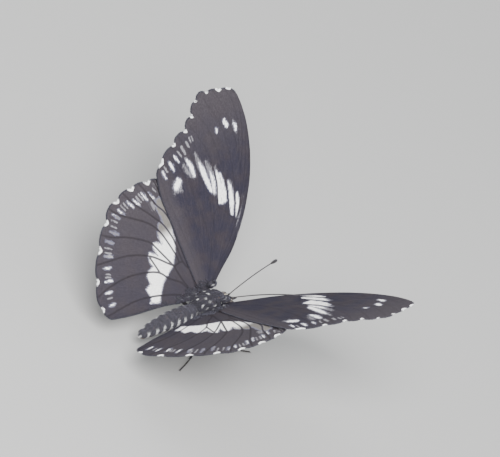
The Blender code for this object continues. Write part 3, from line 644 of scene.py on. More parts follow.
def new_material(name, sheen=0.0, shine=0.3):
    material = bpy.data.materials.new(name)
    material.use_nodes = True
    shader = material.node_tree.nodes["Principled BSDF"]
    shader.inputs["Sheen Weight"].default_value = sheen
    shader.inputs["Sheen Roughness"].default_value = 0.4
    shader.inputs["Sheen Tint"].default_value = (0.75, 0.75, 1.0, 1.0)
    shader.inputs["Specular IOR Level"].default_value = shine
    return material, material.node_tree, shader


def dress(tree, shader, colour, roughness, height, strength, depth_mm):
    """Gives a shader its colour, its roughness and a bump of a height, strength and depth."""
    bump = node(tree, "ShaderNodeBump", {"Height": height, "Strength": strength, "Distance": depth_mm * MM})
    for name, value in (("Base Color", colour), ("Roughness", roughness), ("Normal", bump.outputs[0])):
        tree.links.new(value, shader.inputs[name])


# Materials

WHITE_SCALES = (0.93, 0.915, 0.885, 1.0)
# White scales dimmed to a dark cream: a warm tint with painted shade.
SHADED_CREAM_SCALES = (0.15, 0.138, 0.126, 1.0)
GREY_SCALES = (0.27, 0.26, 0.28, 1.0)
LAVENDER_SCALES = (0.26, 0.26, 0.37, 1.0)
DARK_SCALES = (0.024, 0.022, 0.033, 1.0)
BROWN_SCALES = (0.032, 0.027, 0.033, 1.0)
DUSKY_SCALES = (0.049, 0.043, 0.049, 1.0)
BLACK_VEIN = (0.014, 0.012, 0.013, 1.0)
UNDER_BROWN = (0.105, 0.070, 0.050, 1.0)
UNDER_DARK = (0.055, 0.038, 0.030, 1.0)
DARK_HAIR = (0.036, 0.033, 0.041, 1.0)
WHITE_HAIR = (0.88, 0.88, 0.86, 1.0)
BELLY_HAIR = (0.13, 0.10, 0.08, 1.0)
SKIN_DARK, SKIN_PALE = (0.030, 0.026, 0.032, 1.0), (0.050, 0.040, 0.040, 1.0)
FRINGE_DARK, FRINGE_WHITE = (0.026, 0.024, 0.032, 1.0), (0.98, 0.98, 0.97, 1.0)
RIM_DARK, RIM_PALE = (0.06, 0.05, 0.05, 1.0), (0.42, 0.38, 0.31, 1.0)
EYE_DARK, EYE_BROWN = (0.018, 0.013, 0.012, 1.0), (0.055, 0.038, 0.030, 1.0)
ANTENNA_DARK, ANTENNA_PALE = (0.020, 0.017, 0.018, 1.0), (0.14, 0.125, 0.11, 1.0)
TONGUE_DARK, TONGUE_PALE = (0.045, 0.028, 0.018, 1.0), (0.16, 0.09, 0.05, 1.0)
LEG_DARK, LEG_PALE = (0.035, 0.028, 0.026, 1.0), (0.16, 0.12, 0.09, 1.0)


def wing_material():
    """Rows of tiny scales: a black-brown ground, ragged white marks that dim to cream with painted shade over
    part of their span, and browner undersides.
    """
    material, tree, shader = new_material("wing_scales", 0.0, 0.06)
    rows = attribute(tree, "rows", "Vector")
    scale_shade, scale_gap = cells(tree, stretched(tree, rows, (5.5, 10.0, 1.0)), 1.0)
    blotch = noise(tree, attribute(tree, "place", "Vector"), 0.22, 4.0)
    streak = noise(tree, stretched(tree, rows, (0.25, 1.6, 1.0)), 1.0)
    ragged = noise(tree, stretched(tree, rows, (0.6, 3.4, 1.0)), 1.0, 5.0)
    wobble = math_node(tree, "ADD", line(tree, ragged, 1.2, -0.6), line(tree, scale_shade, 0.36, -0.18))

    def mark(name, raggedness, low, high, strength=1.0):
        """How strongly a mark shows, from the depth inside it, with a ragged edge."""
        depth = line(tree, wobble, raggedness, attribute(tree, name))
        return times(tree, ramp(tree, depth, low, high), strength)

    on_vein = ramp(tree, attribute(tree, "vein"), 0.3, 0.16)
    clear = line(tree, on_vein, -0.96, 1.0)
    ground = mix_colour(tree, ramp(tree, blotch, 0.38, 0.66), DARK_SCALES, BROWN_SCALES)
    ground = mix_colour(tree, attribute(tree, "faded"), ground, DUSKY_SCALES)
    ground = mix_colour(tree, times(tree, ramp(tree, streak, 0.4, 0.75), 0.35), ground, DUSKY_SCALES)
    lower = mix_colour(tree, ramp(tree, blotch, 0.35, 0.65), UNDER_BROWN, UNDER_DARK)
    ground = mix_colour(tree, attribute(tree, "under"), ground, lower)
    colour = mix_colour(tree, times(tree, on_vein, attribute(tree, "veined")), ground, BLACK_VEIN)
    # The white marks' colour, dimmed to cream by painted shade over the span the cream attribute gives.
    shaded_white = mix_colour(tree, attribute(tree, "shaded_cream"), WHITE_SCALES, SHADED_CREAM_SCALES)
    marks = (
        (mark("grey", 1.6, -0.4, 0.35, 0.62), GREY_SCALES),
        (mark("white", 0.8, -0.4, 0.05, 0.55), LAVENDER_SCALES),
        (mark("hatch", 0.5, -0.1, 0.1, 0.75), GREY_SCALES),
        (mark("white", 1.0, -0.08, 0.18), shaded_white),
    )
    for share, mark_colour in marks:
        colour = mix_colour(tree, times(tree, share, clear), colour, mark_colour)
    colour = mix_colour(tree, mark("bay", 0.7, -0.05, 0.12), colour, WHITE_SCALES)
    colour = shaded(tree, colour, line(tree, scale_shade, 0.4, 0.8))
    dress(tree, shader, colour, line(tree, scale_shade, 0.2, 0.7), scale_gap, 0.4, 0.04)
    return material


def coat_material(name, dark, pale, under=None, root_shade=0.5):
    """Hair that is darker at its root, with white tufts where the spots are."""
    material, tree, shader = new_material(name, 0.12, 0.2)
    shade = attribute(tree, "shade")
    colour = dark
    if under is not None:
        colour = mix_colour(tree, attribute(tree, "belly"), dark, under)
    colour = mix_colour(tree, attribute(tree, "white"), colour, pale)
    value = line(tree, attribute(tree, "along"), 0.95 - root_shade, root_shade)
    value = times(tree, value, line(tree, shade, 0.45, 0.85))
    grain = noise(tree, object_place(tree), 9000.0)
    dress(tree, shader, shaded(tree, colour, value), line(tree, shade, 0.25, 0.45), grain, 0.25, 0.03)
    return material


def skin_material():
    """Skin under the coat, with flat scales and the coat's own marks."""
    material, tree, shader = new_material("body_skin", 0.2)
    place = object_place(tree)
    scale_shade, scale_gap = cells(tree, place, 6500.0)
    patchy = ramp(tree, noise(tree, place, 500.0, 4.0), 0.35, 0.7)
    colour = mix_colour(tree, patchy, SKIN_DARK, SKIN_PALE)
    colour = mix_colour(tree, attribute(tree, "belly"), colour, BELLY_HAIR)
    colour = mix_colour(tree, attribute(tree, "white"), colour, WHITE_HAIR)
    colour = shaded(tree, colour, line(tree, scale_shade, 0.6, 0.7))
    dress(tree, shader, colour, line(tree, scale_shade, 0.3, 0.55), scale_gap, 0.6, 0.05)
    return material


def eye_material():
    """A dark brown facetted eye with a clear gloss."""
    material, tree, shader = new_material("eye_facets", 0.0, 0.5)
    shader.inputs["Coat Weight"].default_value = 0.5
    shader.inputs["Coat Roughness"].default_value = 0.12
    place = object_place(tree)
    _, facet_gap = cells(tree, place, 16000.0)
    cloud = ramp(tree, noise(tree, place, 900.0, 2.0), 0.35, 0.7)
    colour = mix_colour(tree, cloud, EYE_DARK, EYE_BROWN)
    dress(tree, shader, colour, line(tree, cloud, 0.12, 0.22), facet_gap, 0.35, 0.012)
    return material


def horn_material(name, dark, pale):
    """Horn that pales where its ring attribute rises."""
    material, tree, shader = new_material(name, 0.1, 0.45)
    grain = noise(tree, object_place(tree), 2500.0, 4.0)
    share = ramp(tree, line(tree, grain, 0.5, attribute(tree, "ring")), 0.45, 1.1)
    colour = shaded(tree, mix_colour(tree, share, dark, pale), line(tree, grain, 0.5, 0.72))
    dress(tree, shader, colour, line(tree, grain, 0.3, 0.28), grain, 0.3, 0.02)
    return material


# The coat: tufts set over a mesh or along an edge by geometry nodes


def blade(length, bend, yaw, lean, flat, widths):
    """One closed hair or vane along +Z that bends towards -X and thins to a tip."""
    sides = 3 if flat == 1.0 else 4
    turns = 2 * math.pi * np.arange(sides) / sides
    heights = np.linspace(-0.1, 0.75, len(widths))
    points, along = [], []
    for t, width in zip(heights, widths):
        centre = np.array((-bend * t * t, lean * t, t))
        ring = np.stack([flat * np.cos(turns), np.sin(turns), np.zeros(sides)], axis=1)
        points.append(centre + ring * width / 2)
        along += [max(t, 0.0)] * sides
    points += [np.array([(0.0, 0.0, -0.1)]), np.array([(-bend, lean, 1.0)])]
    along += [0.0, 1.0]
    points = np.vstack(points) * (1.0, 1.0, length)
    spin = np.array(Matrix.Rotation(yaw, 3, "Z"))
    across = np.append(np.tile(np.arange(sides) / sides, len(widths)), (0.5, 0.5))
    patch = np.stack([across, np.array(along), np.zeros(len(along))], axis=1)
    return points @ spin.T, tube_faces(len(widths), sides), along, patch


def new_tuft(name, blades):
    """Several blades that share a root, as the one shape that a coat repeats."""
    made = [blade(*values) for values in blades]
    points, faces = joined([(points, faces) for points, faces, _, _ in made])
    mesh = new_mesh(name, points, faces)
    set_attribute(mesh, "along", np.concatenate([along for _, _, along, _ in made]))
    set_attribute(mesh, "patch", np.vstack([patch for _, _, _, patch in made]))
    mesh.shade_smooth()
    return new_object(name, mesh)


# The coat trees' inputs: name, kind and default.
COAT_SOCKETS = (
    ("Geometry", "Geometry", None), ("Tuft", "Object", None), ("Tufts", "Float", 10.0),
    ("Width", "Float", 0.1), ("Length", "Float", 1.0), ("Unevenness", "Float", 0.2),
    ("Patch", "Float", 0.003), ("Seed", "Int", 1), ("Material", "Material", None),
)
# The share of the mean distance between tufts that two may not come within.
TUFT_SPACING = 0.62


def named(tree, name, kind="FLOAT_VECTOR"):
    return node(tree, "GeometryNodeInputNamedAttribute", {"Name": name}, data_type=kind).outputs[0]


def random_value(tree, seed, low, high, salt):
    seed = math_node(tree, "ADD", seed, float(salt))
    if np.ndim(low):
        inputs = {0: low, 1: high, "Seed": seed}
        return node(tree, "FunctionNodeRandomValue", inputs, data_type="FLOAT_VECTOR").outputs[0]
    inputs = {2: low, 3: high, "Seed": seed}
    return node(tree, "FunctionNodeRandomValue", inputs, data_type="FLOAT").outputs[1]


def scaled_vector(tree, vector, value):
    return node(tree, "ShaderNodeVectorMath", {0: vector, 3: value}, operation="SCALE").outputs[0]


def added_vectors(tree, a, b):
    return node(tree, "ShaderNodeVectorMath", {0: a, 1: b}, operation="ADD").outputs[0]


def coat_tree(along_edge):
    """Sets a tuft at each root, turned to the lie of the coat there, with its patch of the OFBake map."""
    tree = bpy.data.node_groups.new("coat_along_edge" if along_edge else "coat_over_skin", "GeometryNodeTree")
    for name, kind, value in COAT_SOCKETS:
        made = tree.interface.new_socket(name, in_out="INPUT", socket_type="NodeSocket" + kind)
        if value is not None:
            made.default_value = value
    tree.interface.new_socket("Geometry", in_out="OUTPUT", socket_type="NodeSocketGeometry")
    given = node(tree, "NodeGroupInput").outputs
    if along_edge:
        roots = node(tree, "GeometryNodeMeshToPoints", {"Mesh": given["Geometry"]}).outputs[0]
    else:
        spacing = math_node(tree, "DIVIDE", TUFT_SPACING, math_node(tree, "SQRT", given["Tufts"]))
        inputs = {"Mesh": given["Geometry"], "Distance Min": spacing, "Density Max": given["Tufts"],
                  "Density Factor": named(tree, "cover", "FLOAT"), "Seed": given["Seed"]}
        spread = node(tree, "GeometryNodeDistributePointsOnFaces", inputs, distribute_method="POISSON")
        roots = spread.outputs["Points"]
    seed = given["Seed"]
    shade = {"Geometry": roots, "Name": "shade", "Value": random_value(tree, seed, 0.0, 1.0, 3)}
    roots = node(tree, "GeometryNodeStoreNamedAttribute", shade, data_type="FLOAT", domain="POINT").outputs[0]
    stray = random_value(tree, seed, (-1, -1, -1), (1, 1, 1), 5)
    way = added_vectors(tree, named(tree, "lie"), scaled_vector(tree, stray, given["Unevenness"]))
    turn = node(tree, "FunctionNodeAlignRotationToVector", {"Vector": way}, axis="Z").outputs[0]
    inputs = {"Rotation": turn, "Vector": named(tree, "outward")}
    turn = node(tree, "FunctionNodeAlignRotationToVector", inputs, axis="X", pivot_axis="Z").outputs[0]
    width = times(tree, given["Width"], random_value(tree, seed, 0.75, 1.25, 7))
    length = times(tree, given["Length"], random_value(tree, seed, 0.75, 1.2, 9))
    length = times(tree, length, named(tree, "length", "FLOAT"))
    size = node(tree, "ShaderNodeCombineXYZ", {0: width, 1: width, 2: length}).outputs[0]
    tuft = node(tree, "GeometryNodeObjectInfo", {"Object": given["Tuft"], "As Instance": True})
    inputs = {"Points": roots, "Instance": tuft.outputs["Geometry"], "Rotation": turn, "Scale": size}
    placed = node(tree, "GeometryNodeInstanceOnPoints", inputs).outputs[0]
    real = node(tree, "GeometryNodeRealizeInstances", {"Geometry": placed}).outputs[0]
    patch = scaled_vector(tree, named(tree, "patch"), given["Patch"])
    baked = {"Geometry": real, "Name": "OFBake", "Value": added_vectors(tree, named(tree, "root_uv"), patch)}
    mapped = node(tree, "GeometryNodeStoreNamedAttribute", baked, data_type="FLOAT2", domain="CORNER")
    inputs = {"Geometry": mapped.outputs[0], "Material": given["Material"]}
    real = node(tree, "GeometryNodeSetMaterial", inputs).outputs[0]
    node(tree, "NodeGroupOutput", {0: real})
    return tree


def emitter(points, faces, roots, **values):
    """A mesh in body millimetres that a coat grows from. The unwrap is kept whole across its seam."""
    mesh = bpy.data.meshes.new("emitter")
    mesh.from_pydata(np.asarray(points).tolist(), [], [tuple(int(i) for i in face) for face in faces])
    ones, zeros = np.ones(len(points)), np.zeros(len(points))
    usual = {"length": ones, "cover": ones, "white": zeros, "belly": zeros}
    for name, value in {**usual, **values}.items():
        set_attribute(mesh, name, value)
    if not len(faces):
        set_attribute(mesh, "root_uv", np.column_stack([roots, np.zeros(len(roots))]))
        return new_object("emitter", mesh)
    corners = np.zeros(len(mesh.loops), int)
    mesh.loops.foreach_get("vertex_index", corners)
    starts = np.zeros(len(mesh.polygons), int)
    mesh.polygons.foreach_get("loop_start", starts)
    flat = roots[corners].copy()
    counts = np.diff(np.append(starts, len(corners)))
    highest = np.repeat(np.maximum.reduceat(flat[:, 0], starts), counts)
    flat[:, 0] += highest - flat[:, 0] > 0.5
    made = mesh.attributes.new("root_uv", "FLOAT2", "CORNER")
    made.data.foreach_set("vector", (flat * 0.9 + 0.03).astype(np.float32).ravel())
    return new_object("emitter", mesh)


def grow(name, root, tuft, material, slot, **sizes):
    """Grows a coat from an emitter and keeps it as a plain mesh piece."""
    tree = TREES["skin" if len(root.data.polygons) else "edge"]
    modifier = root.modifiers.new("coat", "NODES")
    modifier.node_group = tree
    values = {"Tuft": tuft, "Material": material, **sizes}
    for socket in tree.interface.items_tree:
        if socket.in_out == "INPUT" and socket.name in values:
            modifier[socket.identifier] = values[socket.name]
    graph = bpy.context.evaluated_depsgraph_get()
    grown = root.evaluated_get(graph)
    mesh = bpy.data.meshes.new_from_object(grown, preserve_all_data_layers=True, depsgraph=graph)
    root.modifiers.remove(modifier)
    bpy.data.objects.remove(root)
    for spare in ("lie", "outward", "length", "cover", "root_uv", "patch"):
        if spare in mesh.attributes:
            mesh.attributes.remove(mesh.attributes[spare])
    return finished(name, mesh, None)


# Wings


def wing_axes(pitch):
    """The wing's outward, forward and upward directions in the body frame."""
    level = math.cos(pitch)
    up_way = np.array((math.sin(pitch), -math.sin(DIHEDRAL) * level, math.cos(DIHEDRAL) * level))
    left = np.array((0.0, 1.0, 0.0))
    out_way = unit(left - up_way * (left @ up_way))
    return out_way, np.cross(out_way, up_way), up_way


def past_middle(flat):
    """How far each place lies behind the forewing's slanting line."""
    return -flat[:, 1] - REAR_SLANT * flat[:, 0]


def bend(wing, flat, side):
    """How far the wing's middle surface lies off its plane."""
    lift = -TIP_DROOP * (np.hypot(flat[:, 0], flat[:, 1]) / FOREWING_LENGTH) ** 2
    if wing["tucked"]:
        past = flat[:, 1] - TUCK_START
        lift -= TUCK_SLOPE * (past + np.hypot(past, TUCK_ROUNDING)) / 2
        front = smooth_step(flat[:, 1], *RISE_FORWARD) * smooth_step(flat[:, 0], *RISE_OUT)
        return lift + SETTLE[side][0] + flat @ SETTLE[side][1:] + FRONT_RISE[side] * front
    sink = np.interp(flat[:, 0], *zip(*REAR_SINK[side]))
    return lift - sink * smooth_step(past_middle(flat), *REAR_SPAN)


def on_wing(wing, flat, lift, side):
    """Body-frame points of a wing from places in its own plane and heights over its middle surface."""
    out_way, fore_way, up_way = wing_axes(wing["pitch"])
    lift = bend(wing, flat, side) + lift
    points = np.array(wing["hinge"]) + flat[:, :1] * out_way + flat[:, 1:2] * fore_way
    return on_side(points + lift[:, None] * up_way, side)


def wing_unwrap(flat):
    """Where each place of a wing lies in the OFBake map."""
    across, along, rear = WING_UNWRAP
    return np.column_stack([flat[:, 0] / across, (flat[:, 1] + rear) / along])


def gap_to_stretch(points, a, b):
    """How far along a straight stretch each point's nearest place is, and the gap to it."""
    way = b - a
    share = np.clip(((points - a) @ way) / max(way @ way, 1e-9), 0, 1)
    return share, np.linalg.norm(points - a - share[:, None] * way, axis=1)


def distance_to(path, points):
    """Distance of each point from a polyline, and how far along it the nearest place is."""
    best = np.full(len(points), 1e9)
    along = np.zeros(len(points))
    for i in range(len(path) - 1):
        share, gap = gap_to_stretch(points, path[i], path[i + 1])
        nearer = gap < best
        best[nearer] = gap[nearer]
        along[nearer] = (i + share[nearer]) / (len(path) - 1)
    return best, along


def inside_strokes(strokes, points):
    """How deep each point lies inside the nearest brush stroke, negative outside."""
    depth = np.full(len(points), -9.0)
    for stroke in strokes:
        stroke = smooth_curve(stroke, 1.0)
        for a, b in zip(stroke[:-1], stroke[1:]):
            share, gap = gap_to_stretch(points, a[:2], b[:2])
            depth = np.maximum(depth, a[2] + (b[2] - a[2]) * share - gap)
    return depth


def inside_rounds(rounds, points):
    """How deep each point lies inside the nearest of some circles."""
    depths = [radius - np.hypot(points[:, 0] - u, points[:, 1] - v) for u, v, radius in rounds]
    return np.max(depths, axis=0)


def inside_loop(loop, points):
    """True where a point lies inside a closed outline."""
    found = np.zeros(len(points), bool)
    for (x0, y0), (x1, y1) in zip(loop, np.roll(loop, -1, axis=0)):
        if y0 != y1:
            crosses = (y0 > points[:, 1]) != (y1 > points[:, 1])
            crossing = x0 + (points[:, 1] - y0) * (x1 - x0) / (y1 - y0)
            found ^= crosses & (points[:, 0] < crossing)
    return found


def lobed_edge(start, lobes):
    """Close points along the scalloped edge: round lobes that end in small notches."""
    edge = []
    for tip, notch in lobes:
        tip, notch = np.array(tip), np.array(notch)
        way = notch - start
        middle = (tip - start) @ way / (way @ way)
        bulge = tip - start - middle * way
        count = round(np.linalg.norm(way) * 1.4 / NET_STEP)
        for t in np.arange(count) / count:
            reach = (middle - t) / middle if t < middle else (t - middle) / (1 - middle)
            edge.append(start + t * way + bulge * (1 - reach**LOBE_ROUNDNESS))
        start = notch
    return np.array(edge)


def wing_outline(wing):
    """The wing's edge as a closed loop, its outward directions, and where it carries fringe."""
    costa = smooth_curve(wing["costa"], NET_STEP)
    edge = lobed_edge(costa[-1], wing["lobes"])
    inner = smooth_curve((wing["lobes"][-1][1],) + wing["inner"], NET_STEP)
    root = smooth_curve((wing["inner"][-1], wing["costa"][0]), NET_STEP)[1:-1]
    loop = np.vstack([costa[:-1], edge, inner, root])
    way = unit(np.roll(loop, -1, axis=0) - np.roll(loop, 1, axis=0))
    outward = np.stack([way[:, 1], -way[:, 0]], axis=1)
    area = np.sum(loop[:, 0] * np.roll(loop[:, 1], -1) - np.roll(loop[:, 0], -1) * loop[:, 1])
    outward *= 1 if area > 0 else -1
    first, last = len(costa) - 1, len(costa) - 1 + len(edge) + len(inner)
    steps = np.arange(len(loop))
    fringed = smooth_step(steps, first, first + 6) * smooth_step(-steps, -last, -last + 30)
    return loop, outward, fringed


def wing_marks(wing, flat):
    """Depth inside the white, grey and hatched marks, and the gap to the nearest vein and its height."""
    white = inside_strokes(wing["white"], flat)
    if wing["band"]:
        band = np.array(wing["band"])
        depth = distance_to(np.vstack([band, band[:1]]), flat)[0]
        white = np.maximum(white, np.where(inside_loop(band, flat), depth, -depth))
    gap = np.full(len(flat), 9.0)
    ridge = np.zeros(len(flat))
    for knots in wing["veins"].values():
        away, along = distance_to(smooth_curve(knots, 0.8), flat)
        width = VEIN_HALF_WIDTH * (1 - 0.3 * along)
        height = VEIN_RIDGE * (1 - 0.3 * along) * np.exp(-((away / width) ** 2))
        ridge, gap = np.maximum(ridge, height), np.minimum(gap, away)
    return white, inside_strokes(wing["grey"], flat), inside_strokes(wing["hatch"], flat), gap, ridge


def wing_net(wing, loop):
    """A net of triangles inside a loop, finer along the marks' edges and the veins."""
    low, high = loop.min(axis=0), loop.max(axis=0)
    step = NET_STEP / 2
    grid, coarse = [], []
    for i, v in enumerate(np.arange(low[1], high[1], step * 0.866)):
        us = np.arange(low[0] + (i % 2) * step / 2, high[0], step)
        grid.append(np.stack([us, np.full(len(us), v)], axis=1))
        coarse.append((np.arange(len(us)) % 2 == i // 2 % 2) & (i % 2 == 0))
    grid, coarse = np.concatenate(grid), np.concatenate(coarse)
    inside = inside_loop(loop, grid)
    grid, coarse = grid[inside], coarse[inside]
    white, _, hatch, gap, _ = wing_marks(wing, grid)
    fine = (np.abs(white) < FINE_WHITE) | (np.abs(hatch) < FINE_HATCH) | (gap < FINE_VEIN)
    grid = grid[coarse | fine]
    grid = grid[distance_to(np.vstack([loop, loop[:1]]), grid)[0] > NET_STEP * 0.5]
    count = len(loop)
    edges = [(i, (i + 1) % count) for i in range(count)]
    net = geometry.delaunay_2d_cdt([Vector(p) for p in np.vstack([loop, grid])], edges, [], 1, 1e-4)
    return np.array([tuple(p) for p in net[0]]), np.array([tuple(f) for f in net[2]])


def plan_wing(wing):
    """All that both sides share: outline, net, heights and marks. The marks go on its top, then below."""
    outline, outward, fringed = wing_outline(wing)
    loop = outline - outward * (FRINGE_INSET * fringed)[:, None]
    flat, faces = wing_net(wing, loop)
    white, grey, hatch, vein_gap, ridge = wing_marks(wing, flat)
    edge_gap = distance_to(np.vstack([loop, loop[:1]]), flat)[0]
    swell = WING_HALF_THICKNESS - MARGIN_HALF_THICKNESS
    thick = MARGIN_HALF_THICKNESS + swell * np.clip(edge_gap / MARGIN_TAPER, 0, 1)
    sag = -CELL_SAG * np.clip(vein_gap / SAG_FROM_VEIN, 0, 1) * np.clip(edge_gap / SAG_FROM_MARGIN, 0, 1)
    below = np.maximum(white + 0.2, inside_strokes(wing["under_white"], flat))
    spots = spot_mask(on_wing(wing, flat, sag + thick, 1), 0.1)
    white = np.maximum(white, 0.4 * (spots - 0.5) - 9.0 * (spots < 0.2))
    bay = inside_rounds(wing["bays"], flat) - 3.0 * edge_gap
    shaded_cream_start, shaded_cream_full, shaded_cream_end = wing["shaded_cream"]
    out = flat[:, 0]
    faded = smooth_step(out, *wing["faded"])
    if not wing["tucked"]:
        faded = np.maximum(faded, 0.7 * smooth_step(past_middle(flat), *DUSKY_SPAN))
    # How far the white marks dim to cream: a warm tint with painted shade.
    shaded_cream = smooth_step(out, shaded_cream_start, shaded_cream_full) * (out < shaded_cream_end)
    return {
        "outline": outline,
        "outward": outward,
        "fringed": fringed,
        "flat": flat,
        "faces": faces,
        "top": sag + thick + ridge,
        "bottom": sag - thick - ridge,
        "white": np.concatenate([white, below]),
        "grey": np.concatenate([grey, grey + 0.3]),
        "hatch": np.tile(hatch, 2),
        "shaded_cream": np.tile(shaded_cream, 2),
        "faded": np.tile(faded, 2),
        "veined": np.full(2 * len(flat), wing["veined"]),
        "bay": np.tile(bay, 2),
        "vein": np.tile(vein_gap, 2),
        "hair": inside_rounds(wing["hair"], flat),
    }


WING_MARKS = ("white", "grey", "hatch", "shaded_cream", "faded", "bay", "vein", "veined")


def build_wing(kind, word, wing, plan, side, material):
    """The thin wing itself. Its right side draws other streaks and blotches than its left."""
    flat, faces = plan["flat"], plan["faces"]
    count = len(flat)
    top = on_wing(wing, flat, plan["top"], side)
    bottom = on_wing(wing, flat, plan["bottom"], side)
    directed = {(a, b) for f in faces.tolist() for a, b in ((f[0], f[1]), (f[1], f[2]), (f[2], f[0]))}
    walls = [(b, a, a + count, b + count) for a, b in sorted(directed) if (b, a) not in directed]
    skin = faces.tolist() + (faces[:, ::-1] + count).tolist() + walls
    under = np.repeat((0.0, 1.0), count)
    apart = 1.0 if side < 0 else 0.0
    below = under * UNDER_SHIFT
    place = np.column_stack([np.vstack([flat, flat]) + (RIGHT_SHIFT * apart, 0.0), below])
    out, forward = flat[:, 0] + FAN_CENTRE, flat[:, 1]
    turn = np.arctan2(forward, out) * FAN_ROWS
    rows = np.column_stack([np.tile(np.hypot(out, forward), 2), np.tile(turn, 2) + RIGHT_TURN * apart, below])
    marks = {"under": under, "place": place, "rows": rows, **{key: plan[key] for key in WING_MARKS}}
    shape = (np.vstack([top, bottom]), skin)
    hand_in(kind, word, "scaled", shape, material, "wing_scales", **marks)


def build_fringe(kind, word, wing, plan, side, tuft, material):
    """Two rows of vanes along the scalloped edge, white in its notches."""
    dice = np.random.default_rng(31 if kind == "forewing" else 37)
    loop, outward = plan["outline"] - plan["outward"] * FRINGE_INSET, plan["outward"]
    steps = np.linalg.norm(np.roll(loop, -1, axis=0) - loop, axis=1)
    length = np.cumsum(steps)
    out_way, fore_way, up_way = wing_axes(wing["pitch"])
    roots, ways, lengths, white = [], [], [], []
    for layer, lift in enumerate(FRINGE_LIFTS):
        for at in np.arange(layer * FRINGE_STEP / 2, length[-1], FRINGE_STEP):
            i = int(np.searchsorted(length, at))
            if i >= len(loop) or plan["fringed"][i] < 0.5:
                continue
            share = (at - (length[i] - steps[i])) / steps[i]
            spot = loop[i] + share * (loop[(i + 1) % len(loop)] - loop[i])
            out = outward[i] + dice.normal(0, FRINGE_STRAY, 2)
            bay = inside_rounds(wing["bays"], plan["outline"][i : i + 1])[0] + dice.normal(0, FRINGE_STRAY)
            roots.append(np.append(spot - 0.06 * outward[i], lift))
            ways.append(out[0] * out_way + out[1] * fore_way + dice.normal(0, 0.06) * up_way)
            white.append(smooth_step(bay, -0.05, 0.15))
            lengths.append(1.0 + 0.15 * white[-1])
    roots = np.array(roots)
    points = on_wing(wing, roots[:, :2], roots[:, 2], side)
    lie = on_side(unit(np.array(ways)), side)
    facing = np.tile(on_side(up_way, side), (len(points), 1))
    unwrap = wing_unwrap(roots)
    root = emitter(points, [], unwrap, lie=lie, outward=facing, length=lengths, white=white)
    grow(f"{kind}_{word}_fringe", root, tuft, material, "wing_scales", **COATS["fringe"])


def build_wing_hair(kind, word, wing, plan, side, tuft, material):
    """Long hair at the wing's root and down the hindwing's inner edge."""
    keep = plan["hair"] > 0
    chosen = plan["faces"][keep[plan["faces"]].all(axis=1)]
    flat = plan["flat"]
    points = on_wing(wing, flat, plan["top"], side)
    if side < 0:
        chosen = chosen[:, ::-1]
    out_way, _, up_way = wing_axes(wing["pitch"])
    way = unit(0.6 * out_way + 0.8 * np.array((-1.0, 0.0, 0.0)))
    lie = np.tile(on_side(unit(way + 0.28 * up_way), side), (len(points), 1))
    facing = np.tile(on_side(up_way, side), (len(points), 1))
    cover = np.clip(plan["hair"], 0, 1) ** 0.7
    values = {"length": 0.5 + 0.5 * cover, "cover": cover, "white": spot_mask(points)}
    root = emitter(points, chosen, wing_unwrap(flat), lie=lie, outward=facing, **values)
    grow(f"{kind}_{word}_hair", root, tuft, material, "wing_scales", **COATS["wing_hair"])


def build_wings(tufts, hair):
    material = wing_material()
    fringe = coat_material("wing_fringe", FRINGE_DARK, FRINGE_WHITE, root_shade=0.85)
    for kind, wing in (("forewing", FOREWING), ("hindwing", HINDWING)):
        plan = plan_wing(wing)
        for side, word in SIDES:
            build_wing(kind, word, wing, plan, side, material)
            build_fringe(kind, word, wing, plan, side, tufts["vane"], fringe)
            build_wing_hair(kind, word, wing, plan, side, tufts["lock"], hair)


# Body


def spot_mask(points, wider=0.0):
    """How white the coat is at each point."""
    mask = np.zeros(len(points))
    mirrored = [(on_side(place, -1), radius, strength) for place, radius, strength in PAIRED_SPOTS]
    for place, radius, strength in PAIRED_SPOTS + SINGLE_SPOTS + tuple(mirrored):
        depth = radius + wider - np.linalg.norm((points - place) * (0.65, 1.0, 1.0), axis=1)
        mask = np.maximum(mask, strength * smooth_step(depth, -0.02, 0.03))
    return mask


def through_segment(forward):
    """How far through its abdominal segment each place lies, from the segment's front."""
    step = (ABDOMEN_REAR - ABDOMEN_FRONT) / ABDOMEN_SEGMENTS
    return np.mod((forward - ABDOMEN_FRONT) / step, 1.0)


def body_shells():
    """The body inside its coat: thorax, ringed abdomen and head, still as separate shells."""
    table = np.array(THORAX_RINGS)
    stations = np.linspace(table[0, 0] - 0.6, table[-1, 0] + 0.6, 44)
    up, wide, high = (np.interp(stations, table[:, 0], table[:, i]) for i in (1, 2, 3))
    path = np.column_stack([stations, np.zeros(len(stations)), up])
    slim = COAT_DEPTH + SHOULDER_SLIMMING * smooth_step(stations, *SHOULDER_SPAN)
    shells = [sweep(path, np.column_stack([wide - slim, high - slim]), 32)]
    stations = np.linspace(ABDOMEN_FRONT + 0.7, ABDOMEN_REAR + 0.1, 150)
    axis = smooth_curve(ABDOMEN_AXIS[::-1], 0.3)
    up = np.interp(stations, axis[:, 0], axis[:, 1])
    half_table = np.array(ABDOMEN_HALF[::-1])
    half = np.interp(stations, half_table[:, 0], half_table[:, 1])
    share = through_segment(stations)
    swell = 0.9 + 0.11 * np.minimum(1.0, share * 3) - 0.1 * smooth_step(share, 0.88, 1.0)
    half = np.maximum(half * swell - 0.14, 0.12)
    path = np.column_stack([stations, np.zeros(len(stations)), up])
    shells.append(sweep(path, np.column_stack([half, half * 1.05]), 28))
    shells.append(ellipsoid(HEAD_CENTRE, np.array(HEAD_HALF) - 0.12))
    return joined(shells + [ellipsoid(*lump) for lump in FACE])


